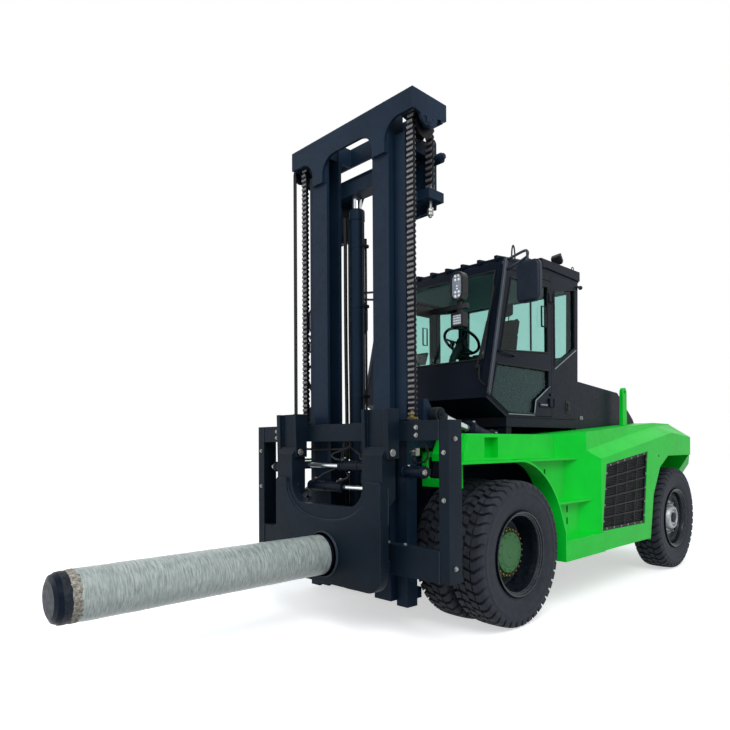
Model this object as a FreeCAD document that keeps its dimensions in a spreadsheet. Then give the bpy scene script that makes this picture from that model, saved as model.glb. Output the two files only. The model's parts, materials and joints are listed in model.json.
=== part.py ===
"""Heavy electric forklift with a coil ram: one parametric assembly of separate pieces.

The truck faces -Y, its left side is +X and up is +Z; the floor is Z = 0. Lengths are in
millimetres. Every Y in this file is counted from the drive axle, and each piece's placement
carries the shift axle_y that brings the middle of the whole truck to the origin.
"""
import FreeCAD, Part
import math
import os
import re
import Sketcher
from FreeCAD import Vector, Rotation

# ---------------------------------------------------------------- driving dimensions
SIZES = {
    # wheels and axles
    "tyre_radius": 612.5, "tread_floor": 586, "tyre_width": 315, "rim_radius": 346,
    "rim_wall": 22, "rim_inset": 6,
    "twin_outer": 1056, "twin_inner": 690, "wheelbase": 3469, "steer_x": 1062,
    "kingpin_x": 900, "kingpin_radius": 45, "knuckle_radius": 90, "hub_radius": 165,
    "spindle_radius": 75, "hub_disc": 1085, "running_fit": 0.1, "moving_gap": 6,
    "axle_tube_radius": 175, "axle_tube_end": 470,
    # frame and green body
    "frame_half": 480, "frame_plate": 40, "frame_low": 380, "frame_front": -380,
    "wall_x": 950, "wall_plate": 25, "body_low": 455, "body_out": 1220,
    "deck_z": 1617, "deck_plate": 20, "deck_front": -410, "nose_front": -500, "nose_z": 1450,
    "ledge_z": 1390, "ledge_plate": 20, "ledge_out": 1080, "ledge_front": -680,
    "slope_start": 900, "deck_rise": 0.0657,
    "bulge_start": 990, "bulge_corner": 1440, "arch_ahead": 829,
    "crest_z": 1376, "crest_rise": 0.147, "facet_x": 1136, "facet_z": 1463,
    "facet_rise": 0.1375, "facet_run": 0.0645, "facet_start": 1300,
    "crest_ahead": 139, "tail_corner": 481, "tail_reach": 931, "tail_half": 1050,
    "tail_z": 1600, "arch_z": 1376, "well_x": 385, "well_reach": 706, "body_plate": 16,
    "grille_front": 465, "grille_margin": 50, "grille_lean": 100, "grille_frame": 30,
    "grille_bar": 12, "patch_plate": 15, "patch_end": 380, "nose_plate_low": 1170,
    # battery, steps and lugs
    "battery_half": 420, "battery_front": 1000, "battery_gap": 60,
    "step_low_z": 645, "step_mid_z": 985, "step_low_x": 1240, "step_mid_x": 1160,
    "step_plate": 22, "guard_back": 700, "guard_curve": 470, "guard_wide_z": 720,
    "slot_width": 30, "slot_height": 65, "lug_x": 850, "lug_ahead": 649, "lug_width": 110,
    "lug_plate": 40, "lug_top": 2190, "lug_hole": 22,
    # cab and hood
    "cab_half": 780, "cab_wall": 50, "cab_floor": 1785, "cab_back": 1820,
    "cab_toe_y": 430, "cab_nose_y": 110, "cab_nose_z": 1950, "brow_y": 420, "brow_z": 3250,
    "roof_z": 3400, "roof_step": 1100, "sill_z": 2310, "glass": 6, "pillar": 90,
    "door_back": 1275, "door_hinge_x": 796, "rail_low": 2275, "rail_high": 2455,
    "hood_half": 745, "hood_front": 1850, "hood_peak": 2215, "knee_ahead": 569,
    "hood_knee_z": 2140, "hood_ahead": 89, "hood_plate": 12,
    # mast
    "mast_front": -830, "mast_back": -650, "outer_in": 500, "outer_out": 620,
    "inner_in": 300, "inner_out": 490, "rail_plate": 30, "rail_step": 60, "mast_low": 200,
    "outer_drop": 268,
    "inner_low": 240, "mast_top": 4368, "beam_half": 786, "beam_height": 170,
    "beam_back": -434, "beam_front": -860, "head_plate": 24, "back_inset": 44,
    "head_drop": 418, "rail_drop": 50, "leg_in": 330, "leg_out": 470, "leg_curve": 165,
    "end_drop": 137, "pivot_y": -500, "pivot_z": 580, "pivot_radius": 60,
    "sheave_radius": 92, "sheave_y": -655, "sheave_drop": 218,
    "sheave_pin": 30, "chain_x": 690, "chain_width": 70, "chain_thick": 50, "anchor_drop": 808,
    "lift_radius": 68, "lift_x": 182, "lift_y": -560, "lift_rod": 45, "lift_drop": 648,
    "lift_stroke": 1900, "tie_back": -430, "tie_plate": 58, "push_drop": 528, "tie_height": 120,
    "tie_low": 1500, "arch_half": 265, "arch_leg": 600, "lug_half": 37,
    # carriage and ram
    "carriage_front": -970, "carriage_half": 1215, "column": 95, "column_back": -823,
    "carriage_low": 510, "carriage_top": 1710, "top_beam": 150, "low_beam": 235,
    "beam_plate": 88, "roller_x": 240,
    "ram_front": -1120, "ram_plate": 70, "ram_half": 680, "ram_low": 367, "ram_corner": 150,
    "arm_in": 460, "arm_top": 1510, "cheek_top": 1810, "cup_z": 1040,
    "ram_z": 609, "ram_radius": 160, "wrap_radius": 169, "ram_tip": -3290, "wrap_end": -3100,
    "collar_radius": 185, "collar_length": 40, "seat_gap": 0.3,
    # tilt cylinders
    "tilt_x": 800, "tilt_eye_y": -600, "tilt_eye_z": 1770, "tilt_tail_y": 380,
    "tilt_tail_z": 1500, "tilt_barrel": 70, "tilt_rod": 38, "tilt_pin": 30, "tilt_slot": 78,
    "mast_bay": 660, "bay_back": -150, "tilt_back": -10, "tilt_forward": 6,
    "shift_barrel": 48, "shift_rod": 22, "shift_high": 1345, "shift_low": 1160, "shift_y": -915,
}

doc = FreeCAD.newDocument("ElectricForklift")
sheet = doc.addObject("Spreadsheet::Sheet", "Sizes")
for row, (word, number) in enumerate(SIZES.items(), start=1):
    sheet.set(f"A{row}", word)
    sheet.set(f"B{row}", str(number))
    sheet.setAlias(f"B{row}", word)
doc.recompute()

PIECES = {}
LUGS = 16


# The sine of 45 degrees, for the middle of a quarter bend
SLANT = round(math.sqrt(0.5), 6)

# Places that follow from the sizes above
WORKED_OUT = {
    "axle_y": "(-(ram_tip + tail_end) / 2)",
    "tie_front": "(mast_back + moving_gap)",
    "bulge_slant": "((body_out - wall_x) / (bulge_corner - bulge_start))",
    "arch_front": "(wheelbase - arch_ahead)",
    "crest_end": "(wheelbase - crest_ahead)",
    "tail_start": "(wheelbase + tail_corner)",
    "tail_end": "(wheelbase + tail_reach)",
    "well_end": "(wheelbase + well_reach)",
    "battery_back": "(arch_front - battery_gap)",
    "lug_y": "(wheelbase - lug_ahead)",
    "hood_knee": "(wheelbase - knee_ahead)",
    "hood_back": "(wheelbase - hood_ahead)",
    "outer_top": "(mast_top - outer_drop)",
    "sheave_z": "(mast_top - sheave_drop)",
    "anchor_z": "(mast_top - anchor_drop)",
    "lift_top": "(mast_top - lift_drop)",
    "tie_z": "(mast_top - push_drop)",
}


def formula(text):
    """An expression with each of the sheet's words pointed at the sheet."""
    def swap(match):
        word = match[0]
        if word in WORKED_OUT:
            return formula(WORKED_OUT[word])
        return f"Sizes.{word}" if word in SIZES else word
    return re.sub(r"[a-z][a-z_]*", swap, str(text))


def number(text):
    """What a formula is worth now, in millimetres or degrees."""
    worth = sheet.evalExpression(formula(text))
    return float(getattr(worth, "Value", worth))


def bind(item, **formulas):
    """Ties properties to the sheet; a double underscore stands for a dot."""
    for path, text in formulas.items():
        item.setExpression(path.replace("__", "."), formula(text))
    return item


def keep(item, label):
    """Names a finished sub-part: its label is its file's name."""
    item.Label = label
    PIECES[label] = item
    return item


# ---------------------------------------------------------------- primitives and booleans
TURNS = {"X": Rotation(Vector(0, 1, 0), 90), "Y": Rotation(Vector(1, 0, 0), -90), "Z": Rotation()}


def block(x, y, z):
    """A box from pairs of formulas, low then high."""
    item = doc.addObject("Part::Box", "Block")
    bind(item, Length=f"({x[1]}) - ({x[0]})", Width=f"({y[1]}) - ({y[0]})",
         Height=f"({z[1]}) - ({z[0]})", Placement__Base__x=x[0],
         Placement__Base__y=f"({y[0]}) + axle_y", Placement__Base__z=z[0])
    return item


def rod(axis, start, radius, length):
    """A cylinder that starts at a point and runs along a row axis."""
    item = doc.addObject("Part::Cylinder", "Rod")
    item.Placement.Rotation = TURNS[axis]
    bind(item, Radius=radius, Height=length, Placement__Base__x=start[0],
         Placement__Base__y=f"({start[1]}) + axle_y", Placement__Base__z=start[2])
    return item


def pitched_rod(x, y, z, rise_y, rise_z, start, radius, length):
    """A cylinder in a plane of constant X, aimed along (rise_y, rise_z) from (x, y, z)."""
    run = f"sqrt(({rise_y})^2 + ({rise_z})^2)"
    item = doc.addObject("Part::Cylinder", "PitchedRod")
    item.Placement.Rotation = Rotation(Vector(1, 0, 0), 1)
    bind(item, Radius=radius, Height=length, Placement__Base__x=x,
         Placement__Base__y=f"({y}) + axle_y + ({start}) * ({rise_y}) / {run}",
         Placement__Base__z=f"({z}) + ({start}) * ({rise_z}) / {run}",
         Placement__Rotation__Angle=f"atan2({rise_z}; {rise_y}) - 90 deg")
    return item


def fuse(*items):
    joined = doc.addObject("Part::MultiFuse", "Fuse")
    joined.Shapes = list(items)
    return joined


def cut(base, *tools):
    for tool in tools:
        taken = doc.addObject("Part::Cut", "Cut")
        taken.Base = base
        taken.Tool = tool
        base = taken
    return base


def group(*items):
    """Several solids that don't touch, kept as one sub-part."""
    held = doc.addObject("Part::Compound", "Group")
    held.Links = list(items)
    return held


def across(item, axis, middle):
    """A twin mirrored in the plane that stands across an axis at its middle."""
    twin = doc.addObject("Part::Mirroring", "Twin")
    twin.Source = item
    twin.Normal = Vector(*[int(axis == name) for name in "XYZ"])
    return bind(twin, **{f"Base__{axis.lower()}": middle})


def mirrored(item):
    """The right-hand twin of a left-hand piece."""
    return across(item, "X", "0")


def both(item):
    """A left-hand piece and its right-hand twin as one sub-part."""
    return group(item, mirrored(item))


# ---------------------------------------------------------------- sketched bodies
NORMALS = {"XY": "XY_Plane", "XZ": "XZ_Plane", "YZ": "YZ_Plane"}


class Body:
    """A PartDesign body whose sketches lie on its own origin planes."""

    def __init__(self, name, y="0", x="0"):
        self.body = doc.addObject("PartDesign::Body", name)
        bind(self.body, Placement__Base__y=f"axle_y + ({y})", Placement__Base__x=x)

    def sketch(self, plane, points, level="0", circles=()):
        """A closed outline of (u, v) corners; (u, v, mid_u, mid_v) arrives along an arc."""
        sketch = self.body.newObject("Sketcher::SketchObject", "Outline")
        role = NORMALS[plane]
        face = next(f for f in self.body.Origin.OriginFeatures if f.Role == role)
        sketch.AttachmentSupport = [(face, "")]
        sketch.MapMode = "FlatFace"
        bind(sketch, AttachmentOffset__Base__z=level)
        spots = [Vector(number(p[0]), number(p[1]), 0) for p in points]
        names = []

        def fix(kind, where, end, text, label):
            sketch.addConstraint(Sketcher.Constraint(kind, -1, 1, where, end, number(text)))
            sketch.renameConstraint(sketch.ConstraintCount - 1, label)
            names.append((label, text))

        ends = []
        for i, point in enumerate(points):
            start, stop = spots[i - 1], spots[i]
            if len(point) == 4:
                middle = Vector(number(point[2]), number(point[3]), 0)
                leftward = (middle - start).cross(stop - middle).z > 0
                arc = Part.Arc(start, middle, stop) if leftward else Part.Arc(stop, middle, start)
                sketch.addGeometry(arc, False)
                ends.append((1, 2) if leftward else (2, 1))
            else:
                sketch.addGeometry(Part.LineSegment(start, stop), False)
                ends.append((1, 2))
        for i in range(len(points)):
            sketch.addConstraint(Sketcher.Constraint(
                "Coincident", i - 1 if i else len(points) - 1, ends[i - 1][1], i, ends[i][0]))
        for i, point in enumerate(points):
            fix("DistanceX", i, ends[i][1], point[0], f"u{i}")
            fix("DistanceY", i, ends[i][1], point[1], f"v{i}")
            if len(point) == 4:
                middle = Vector(number(point[2]), number(point[3]), 0)
                mark = sketch.addGeometry(Part.Point(middle), True)
                sketch.addConstraint(Sketcher.Constraint("PointOnObject", mark, 1, i))
                fix("DistanceX", mark, 1, point[2], f"mu{i}")
                fix("DistanceY", mark, 1, point[3], f"mv{i}")
        for i, (u, v, radius) in enumerate(circles):
            centre = Vector(number(u), number(v), 0)
            ring = sketch.addGeometry(Part.Circle(centre, Vector(0, 0, 1), number(radius)), False)
            fix("DistanceX", ring, 3, u, f"cu{i}")
            fix("DistanceY", ring, 3, v, f"cv{i}")
            sketch.addConstraint(Sketcher.Constraint("Radius", ring, number(radius)))
            sketch.renameConstraint(sketch.ConstraintCount - 1, f"r{i}")
            names.append((f"r{i}", radius))
        for label, text in names:
            sketch.setExpression(f"Constraints.{label}", formula(text))
        return sketch

    def level(self, plane, low, high):
        return f"-({high})" if plane == "XZ" else low

    def pad(self, plane, points, low, high, circles=()):
        """Extrudes an outline between two levels on the axis across its plane."""
        feature = self.body.newObject("PartDesign::Pad", "Pad")
        feature.Profile = self.sketch(plane, points, self.level(plane, low, high), circles)
        bind(feature, Length=f"({high}) - ({low})")
        return self

    def pocket(self, plane, points, low, high, circles=()):
        """Cuts an outline out between two levels, and makes sure that it cut something."""
        doc.recompute()
        before = self.body.Tip.Shape.Volume
        feature = self.body.newObject("PartDesign::Pocket", "Pocket")
        feature.Profile = self.sketch(plane, points, self.level(plane, low, high), circles)
        feature.Reversed = True
        bind(feature, Length=f"({high}) - ({low})")
        doc.recompute()
        if not self.body.Tip.Shape.Volume < before - 1:
            raise RuntimeError(f"a pocket of {self.body.Name} cuts nothing")
        return self

    def loft(self, *sections):
        """Joins XZ outlines, each given as (y, points), with straight lines."""
        sketches = [self.sketch("XZ", points, f"-({y})") for y, points in sections]
        feature = self.body.newObject("PartDesign::AdditiveLoft", "Loft")
        feature.Profile = sketches[0]
        feature.Sections = sketches[1:]
        feature.Ruled = True
        return self

    def turn(self, points, level, plane="XY", axis="H_Axis"):
        """A solid of revolution about its sketch's own axis."""
        feature = self.body.newObject("PartDesign::Revolution", "Turned")
        profile = self.sketch(plane, points, level)
        feature.Profile = profile
        feature.ReferenceAxis = (profile, [axis])
        feature.Angle = 360
        return self

    def round(self, axis, spots, radius):
        """Rounds the edges along an axis that pass through the given (u, v) spots."""
        doc.recompute()
        along = "XYZ".index(axis)
        others = [i for i in range(3) if i != along]
        wanted = [tuple(number(c) for c in spot) for spot in spots]
        names = []
        for i, edge in enumerate(self.body.Tip.Shape.Edges, start=1):
            ends = [v.Point for v in edge.Vertexes]
            if len(ends) != 2 or any(abs(ends[0][k] - ends[1][k]) > 1e-4 for k in others):
                continue
            place = tuple(ends[0][k] for k in others)
            if any(math.dist(place, spot) < 1e-3 for spot in wanted):
                names.append(f"Edge{i}")
        if not names:
            raise RuntimeError(f"{self.body.Name} has no edge to round")
        base = self.body.Tip
        feature = self.body.newObject("PartDesign::Fillet", "Round")
        feature.Base = (base, names)
        bind(feature, Radius=radius)
        return self


# ---------------------------------------------------------------- wheels
def tread_half(low, high, phase):
    """One half of a tyre's width: lugs round its edge, a plain bore on the rim."""
    outline = []
    for i in range(LUGS):
        for radius, step in (("tread_floor", -0.09), ("tyre_radius", 0),
                             ("tyre_radius", 0.42), ("tread_floor", 0.51)):
            angle = f"({i} + {step} + {phase}) * 360 deg / {LUGS}"
            outline.append((f"{radius} * cos({angle})", f"tyre_radius + {radius} * sin({angle})"))
    return Body("TreadHalf").pad("YZ", outline, low, high,
                                 circles=[("0", "tyre_radius", "rim_radius + seat_gap")]).body


def tyres():
    """The tyre, its two rows of lugs half a pitch apart, for the twin wheel and the steered one."""
    outer = fuse(tread_half("twin_outer - tyre_width / 2", "twin_outer", "0"),
                 tread_half("twin_outer", "twin_outer + tyre_width / 2", "0.5"))
    inner = across(outer, "X", "(twin_outer + twin_inner) / 2")
    keep(group(outer, inner), "drive_tyres_left")
    rear = across(outer, "Y", "axle_y + wheelbase / 2")
    keep(across(rear, "X", "(twin_outer + steer_x) / 2"), "steer_tyre_left")


def drive_rims():
    """A spool of two rims on the planetary hub."""
    edge = "tyre_width / 2 - rim_inset"
    spool = Body("DriveRim").turn([
        ("axle_tube_end + moving_gap", "spindle_radius + running_fit"),
        ("hub_disc", "spindle_radius + running_fit"),
        ("hub_disc", "hub_radius"),
        ("twin_outer - 60", "hub_radius"),
        ("twin_outer - 60", "rim_radius - rim_wall"),
        (f"twin_outer + {edge}", "rim_radius - rim_wall"),
        (f"twin_outer + {edge}", "rim_radius"),
        (f"twin_inner - {edge}", "rim_radius"),
        (f"twin_inner - {edge}", "rim_radius - rim_wall"),
        ("twin_outer - 100", "rim_radius - rim_wall"),
        ("twin_outer - 100", "hub_radius"),
        ("axle_tube_end + moving_gap", "hub_radius"),
    ], "tyre_radius")
    keep(spool.body, "drive_rims_left")


def steer_rim():
    """A dished rim whose disc stands outboard of the kingpin."""
    edge = "tyre_width / 2 - rim_inset"
    rim = Body("SteerRim", y="wheelbase").turn([
        ("steer_x + 50", "spindle_radius - 15 + running_fit"),
        ("steer_x + 130", "spindle_radius - 15 + running_fit"),
        ("steer_x + 130", "hub_radius - 45"),
        ("steer_x + 80", "hub_radius"),
        ("steer_x + 80", "rim_radius - rim_wall"),
        (f"steer_x + {edge}", "rim_radius - rim_wall"),
        (f"steer_x + {edge}", "rim_radius"),
        (f"steer_x - {edge}", "rim_radius"),
        (f"steer_x - {edge}", "rim_radius - rim_wall"),
        ("steer_x + 50", "rim_radius - rim_wall"),
    ], "tyre_radius")
    keep(rim.body, "steer_rim_left")


def steer_knuckle():
    """A yoke that turns on the kingpin and carries the wheel's spindle."""
    low, high = "tyre_radius - 150", "tyre_radius + 150"
    ear_low = rod("Z", ("kingpin_x", "wheelbase", low), "knuckle_radius", 60)
    ear_high = rod("Z", ("kingpin_x", "wheelbase", f"{high} - 60"), "knuckle_radius", 60)
    y = ("wheelbase - knuckle_radius", "wheelbase + knuckle_radius")
    arms = block(("kingpin_x", "kingpin_x + knuckle_radius + 50"), y, (low, high))
    middle = block(("kingpin_x - 1", "kingpin_x + knuckle_radius + 10"),
                   ("wheelbase - knuckle_radius - 1", "wheelbase + knuckle_radius + 1"),
                   (f"{low} + 60", f"{high} - 60"))
    spindle = rod("X", ("kingpin_x + knuckle_radius + 30", "wheelbase", "tyre_radius"),
                  "spindle_radius - 15", "steer_x + 125 - kingpin_x - knuckle_radius - 30")
    bore = rod("Z", ("kingpin_x", "wheelbase", f"{low} - 1"), "kingpin_radius + running_fit", 302)
    keep(cut(fuse(ear_low, ear_high, arms, spindle), middle, bore), "steer_knuckle_left")


# ---------------------------------------------------------------- axles and frame
def drive_axle():
    """The axle's housing with a spindle into each hub."""
    tube = rod("X", ("-axle_tube_end", 0, "tyre_radius"), "axle_tube_radius", "2 * axle_tube_end")
    spindles = rod("X", ("-hub_disc + 20", 0, "tyre_radius"), "spindle_radius", "2 * hub_disc - 40")
    bowl = rod("Y", (0, -230, "tyre_radius"), 230, 450)
    keep(fuse(tube, spindles, bowl), "drive_axle")


def steer_axle():
    """A boxed beam with a kingpin boss at each end and a trunnion pad above."""
    beam = block(("-kingpin_x", "kingpin_x"), ("wheelbase - 95", "wheelbase + 95"),
                 ("tyre_radius - 84", "tyre_radius + 84"))
    ends = []
    for side in ("-kingpin_x", "kingpin_x"):
        ends.append(rod("Z", (side, "wheelbase", "tyre_radius - 84"), "knuckle_radius", 168))
        ends.append(rod("Z", (side, "wheelbase", "tyre_radius - 150"), "kingpin_radius", 300))
    pad = block(("-well_x + 60", "well_x - 60"), ("wheelbase - 120", "wheelbase + 120"),
                ("tyre_radius + 84", "tyre_radius + 150"))
    keep(fuse(beam, pad, *ends), "steer_axle")


def chassis():
    """A deep trough of plate between the wheels, with the mast's brackets on its nose."""
    inner = "frame_half - frame_plate"
    trough = Body("Trough").pad("XY", [
        ("-frame_half", "frame_front"), ("frame_half", "frame_front"),
        ("frame_half", "arch_front"), ("-frame_half", "arch_front")], "frame_low", "ledge_z")
    trough.pocket("XY", [
        (f"-({inner})", "axle_tube_radius + 260"), (inner, "axle_tube_radius + 260"),
        (inner, "arch_front - frame_plate"), (f"-({inner})", "arch_front - frame_plate")],
        "frame_low + frame_plate", "ledge_z")
    trough.pocket("YZ", [
        ("-240", "frame_low"), ("240", "frame_low"), ("240", "tyre_radius + 230 + seat_gap"),
        ("-240", "tyre_radius + 230 + seat_gap")], "-frame_half", "frame_half")
    trough.pocket("YZ", [
        ("frame_front - 5", "frame_low + 520"), ("frame_front", "frame_low + 520"),
        ("frame_front + 130", "ledge_z"), ("frame_front + 130", "ledge_z + 5"),
        ("frame_front - 5", "ledge_z + 5")], "-frame_half", "frame_half")
    for low, high in (("frame_half - 40", "frame_half"), ("260", "300")):
        for side in (1, -1):
            x = (low, high) if side > 0 else (f"-({high})", f"-({low})")
            trough.pad("YZ", [
                ("frame_front", "pivot_z - 170"), ("frame_front", "pivot_z + 190"),
                ("pivot_y - 20", "pivot_z + 85"), ("pivot_y - 85", "pivot_z"),
                ("pivot_y - 20", "pivot_z - 85")], *x)
    pins = [rod("X", (x, "pivot_y", "pivot_z"), "pivot_radius", "frame_half - 240")
            for x in ("250", "-frame_half + 10 - 20")]
    keep(fuse(trough.body, *pins), "chassis")


def deck(y):
    """The deck's height at a distance behind the drive axle."""
    return f"(deck_z + deck_rise * max(0; ({y}) - slope_start))"


def deck_shell():
    """The green upper body: side walls, bevelled nose and deck plate."""
    shell = Body("DeckShell").pad("YZ", [
        ("nose_front", "ledge_z"), ("arch_front", "ledge_z"), ("arch_front", deck("arch_front")),
        ("slope_start", "deck_z"), ("deck_front", "deck_z"), ("nose_front", "nose_z")],
        "-wall_x", "wall_x")
    shell.pocket("YZ", [
        ("nose_front + wall_plate", "ledge_z"), ("arch_front - wall_plate", "ledge_z"),
        ("arch_front - wall_plate", deck("arch_front") + " - deck_plate"),
        ("slope_start", "deck_z - deck_plate"), ("deck_front + 15", "deck_z - deck_plate"),
        ("nose_front + wall_plate", "nose_z - 5")],
        "-wall_x + wall_plate", "wall_x - wall_plate")
    shell.pocket("XY", [
        ("-mast_bay", "nose_front - 5"), ("mast_bay", "nose_front - 5"),
        ("mast_bay", "bay_back"), ("-mast_bay", "bay_back")], "ledge_z - 5", "roof_z")
    for side in ("-tilt_x", "tilt_x"):
        shell.pocket("XY", [
            (f"{side} - tilt_slot", "deck_front + 20"), (f"{side} + tilt_slot", "deck_front + 20"),
            (f"{side} + tilt_slot", "tilt_tail_y + 140"), (f"{side} - tilt_slot", "tilt_tail_y + 140")],
            "deck_z - 60", "deck_z + 20")
    patch = Body("SidePatch").pad("YZ", [
        ("nose_front + 30", "ledge_z + seat_gap"), ("patch_end", "ledge_z + seat_gap"),
        ("patch_end", "deck_z - 70"),
        ("patch_end - 60", "deck_z - 10", f"patch_end - 60 + 60 * {SLANT}",
         f"deck_z - 70 + 60 * {SLANT}"),
        ("deck_front", "deck_z - 10"), ("nose_front + 30", "nose_z + 10")],
        "wall_x - 1", "wall_x + patch_plate")
    hole = block(("wall_x - wall_plate - 1", "wall_x + patch_plate + 1"), ("-180", "20"),
                 ("ledge_z + 22", "deck_z - 32"))
    nose = Body("NosePlate").pad("XZ", [
        ("outer_out - 90", "nose_plate_low"), ("wall_x - 5", "nose_plate_low"),
        ("wall_x - 5", "nose_z + 15"), ("outer_out - 90", "nose_z + 15")],
        "nose_front + wall_plate - 1", "nose_front + 2 * wall_plate")
    nose.pocket("XZ", [
        ("outer_out - 35", "nose_plate_low + 90"), ("outer_out - 15", "nose_plate_low + 70"),
        ("outer_out + 95", "nose_plate_low + 70"), ("outer_out + 115", "nose_plate_low + 90"),
        ("outer_out + 115", "nose_z - 50"), ("outer_out + 95", "nose_z - 30"),
        ("outer_out - 15", "nose_z - 30"), ("outer_out - 35", "nose_z - 50")],
        "nose_front + wall_plate - 10", "nose_front + 2 * wall_plate + 10")
    extras = fuse(patch.body, nose.body)
    keep(cut(fuse(shell.body, extras, mirrored(extras)), hole, mirrored(hole)), "deck_shell")


def shoulder(y):
    """The side body's section at y: outer wall, bright facet, inner wall up to the deck."""
    rise = f"(({y}) - bulge_corner)"
    back = f"(({y}) - facet_start)"
    return (
        ("body_out", f"crest_z + crest_rise * {rise}"),
        (f"facet_x - facet_run * {back}", f"facet_z + facet_rise * {back}"),
        (f"facet_x - facet_run * {back} - 4", f"max({deck(y)}; facet_z + facet_rise * {back} + 6)"),
    )


def side_body():
    """The bulging side with its grille window, hollow behind."""
    sections = []
    for y in ("bulge_start", "arch_front"):
        crest, facet, top = shoulder(y)
        sections.append((y, [("wall_x", "body_low"), ("body_out", "body_low"), crest, facet, top,
                             ("wall_x", top[1])]))
    side = Body("SideBody").loft(*sections)
    side.pocket("XY", [
        ("wall_x", "bulge_start"), ("wall_x", "bulge_start - 200"),
        ("body_out + 80", "bulge_start - 200"),
        ("body_out + 80", "bulge_start + (body_out + 80 - wall_x) / bulge_slant")],
        "body_low - 10", "roof_z")
    side.pocket("YZ", grille_corners(0), "body_out - 60", "body_out + 10")
    side.pocket("XY", [
        ("wall_x + body_plate", "bulge_corner + 30"), ("body_out - body_plate", "bulge_corner + 30"),
        ("body_out - body_plate", "arch_front - body_plate - 20"),
        ("wall_x + body_plate", "arch_front - body_plate - 20")],
        "body_low + body_plate", "crest_z - 40")
    keep(side.body, "side_body_left")
    keep(mirrored(side.body), "side_body_right")


def grille_corners(margin):
    """The grille window's corners in side view, inset by a margin."""
    front, back = "bulge_start + grille_front", "arch_front - grille_margin"
    return [
        (f"{front} + {margin}", f"body_low + 200 + {margin}"),
        (f"{back} - grille_lean - {margin}", f"body_low + 185 + {margin}"),
        (f"{back} - {margin}", f"crest_z + 58 - {margin}"),
        (f"{front} + grille_lean + {margin}", f"crest_z - 56 - {margin}")]


def between(first, second, share):
    """The point a share of the way from one (u, v) point to another."""
    return tuple(f"(({a}) + (({b}) - ({a})) * {share})" for a, b in zip(first, second))


def grille_bar(corners, share, level):
    """A bar across the grille's window, level or upright, a share of the way over it."""
    low_front, low_back, high_back, high_front = corners
    if level:
        start = between(low_front, high_front, share)
        stop = between(low_back, high_back, share)
        outline = [start, stop, (stop[0], stop[1] + " + grille_bar"),
                   (start[0], start[1] + " + grille_bar")]
    else:
        start = between(low_front, low_back, share)
        stop = between(high_front, high_back, share)
        outline = [start, (start[0] + " + grille_bar", start[1]),
                   (stop[0] + " + grille_bar", stop[1]), stop]
    return Body("GrilleBar").pad("YZ", outline, "body_out - 13", "body_out - 8").body


def grille():
    """A framed guard of level and upright bars in each side's window."""
    inner = grille_corners("(seat_gap + grille_frame)")
    frame = Body("Grille").pad("YZ", grille_corners("seat_gap"), "body_out - 14", "body_out - 6")
    frame.pocket("YZ", inner, "body_out - 15", "body_out - 5")
    edge = grille_corners("(seat_gap + grille_frame - 4)")
    bars = [grille_bar(edge, share, True) for share in (0.16, 0.32, 0.48, 0.64, 0.80)]
    bars += [grille_bar(edge, share, False) for share in (0.25, 0.5, 0.75)]
    item = fuse(frame.body, *bars)
    keep(item, "grille_left")
    keep(mirrored(item), "grille_right")


def counterweight():
    """The cast tail, with a tall well for each steered wheel and chamfered rear corners."""
    sections = []
    for y in ("arch_front", "crest_end"):
        crest, facet, top = shoulder(y)
        sections.append((y, full_width([("body_out", "frame_low"), crest, facet, top])))
    top = deck("crest_end")
    sections.append(("tail_start", full_width([
        ("body_out", "frame_low"), ("body_out", "tail_z"),
        ("facet_x - facet_run * (tail_start - facet_start)", f"{top} - 10"),
        ("facet_x - facet_run * (tail_start - facet_start) - 4", top)])))
    sections.append(("tail_end", full_width([
        ("tail_half", "frame_low"), ("tail_half", "tail_z - 60"),
        ("tail_half - 160", f"{top} - 150"), ("tail_half - 164", f"{top} - 148")])))
    tail = Body("Counterweight").loft(*sections)
    arch = [("arch_front - 50", "frame_low - 10"), ("arch_front + 15", "body_low"),
            ("arch_front + 110", "940"), ("arch_front + 310", "1250"),
            ("arch_front + 560", "arch_z"), ("well_end", "arch_z"), ("well_end", "frame_low - 10")]
    rear = [("900", "frame_low - 10"), ("900", "1000"), ("1130", "arch_z"),
            ("body_out + 20", "arch_z"), ("body_out + 20", "frame_low - 10")]
    for side in (1, -1):
        x = ("well_x", "body_out + 20") if side > 0 else ("-body_out - 20", "-well_x")
        tail.pocket("YZ", arch, *x)
        outline = [(u if side > 0 else f"-({u})", v) for u, v in rear]
        tail.pocket("XZ", outline, "well_end - 150", "tail_end + 20")
    tail.pocket("YZ", [
        ("wheelbase - 130", "frame_low - 10"), ("wheelbase - 130", "tyre_radius + 150"),
        ("wheelbase + 130", "tyre_radius + 150"), ("wheelbase + 130", "frame_low - 10")],
        "-well_x - 5", "well_x + 5")
    keep(tail.body, "counterweight")


def full_width(half):
    """A closed outline from its left half, listed from the bottom outer corner to the top."""
    return [*half, *[(f"-({u})", v) for u, v in reversed(half)]]


def battery():
    keep(block(("-battery_half", "battery_half"), ("battery_front", "battery_back"),
               ("frame_low + frame_plate", "ledge_z - 30")), "battery")


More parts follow.
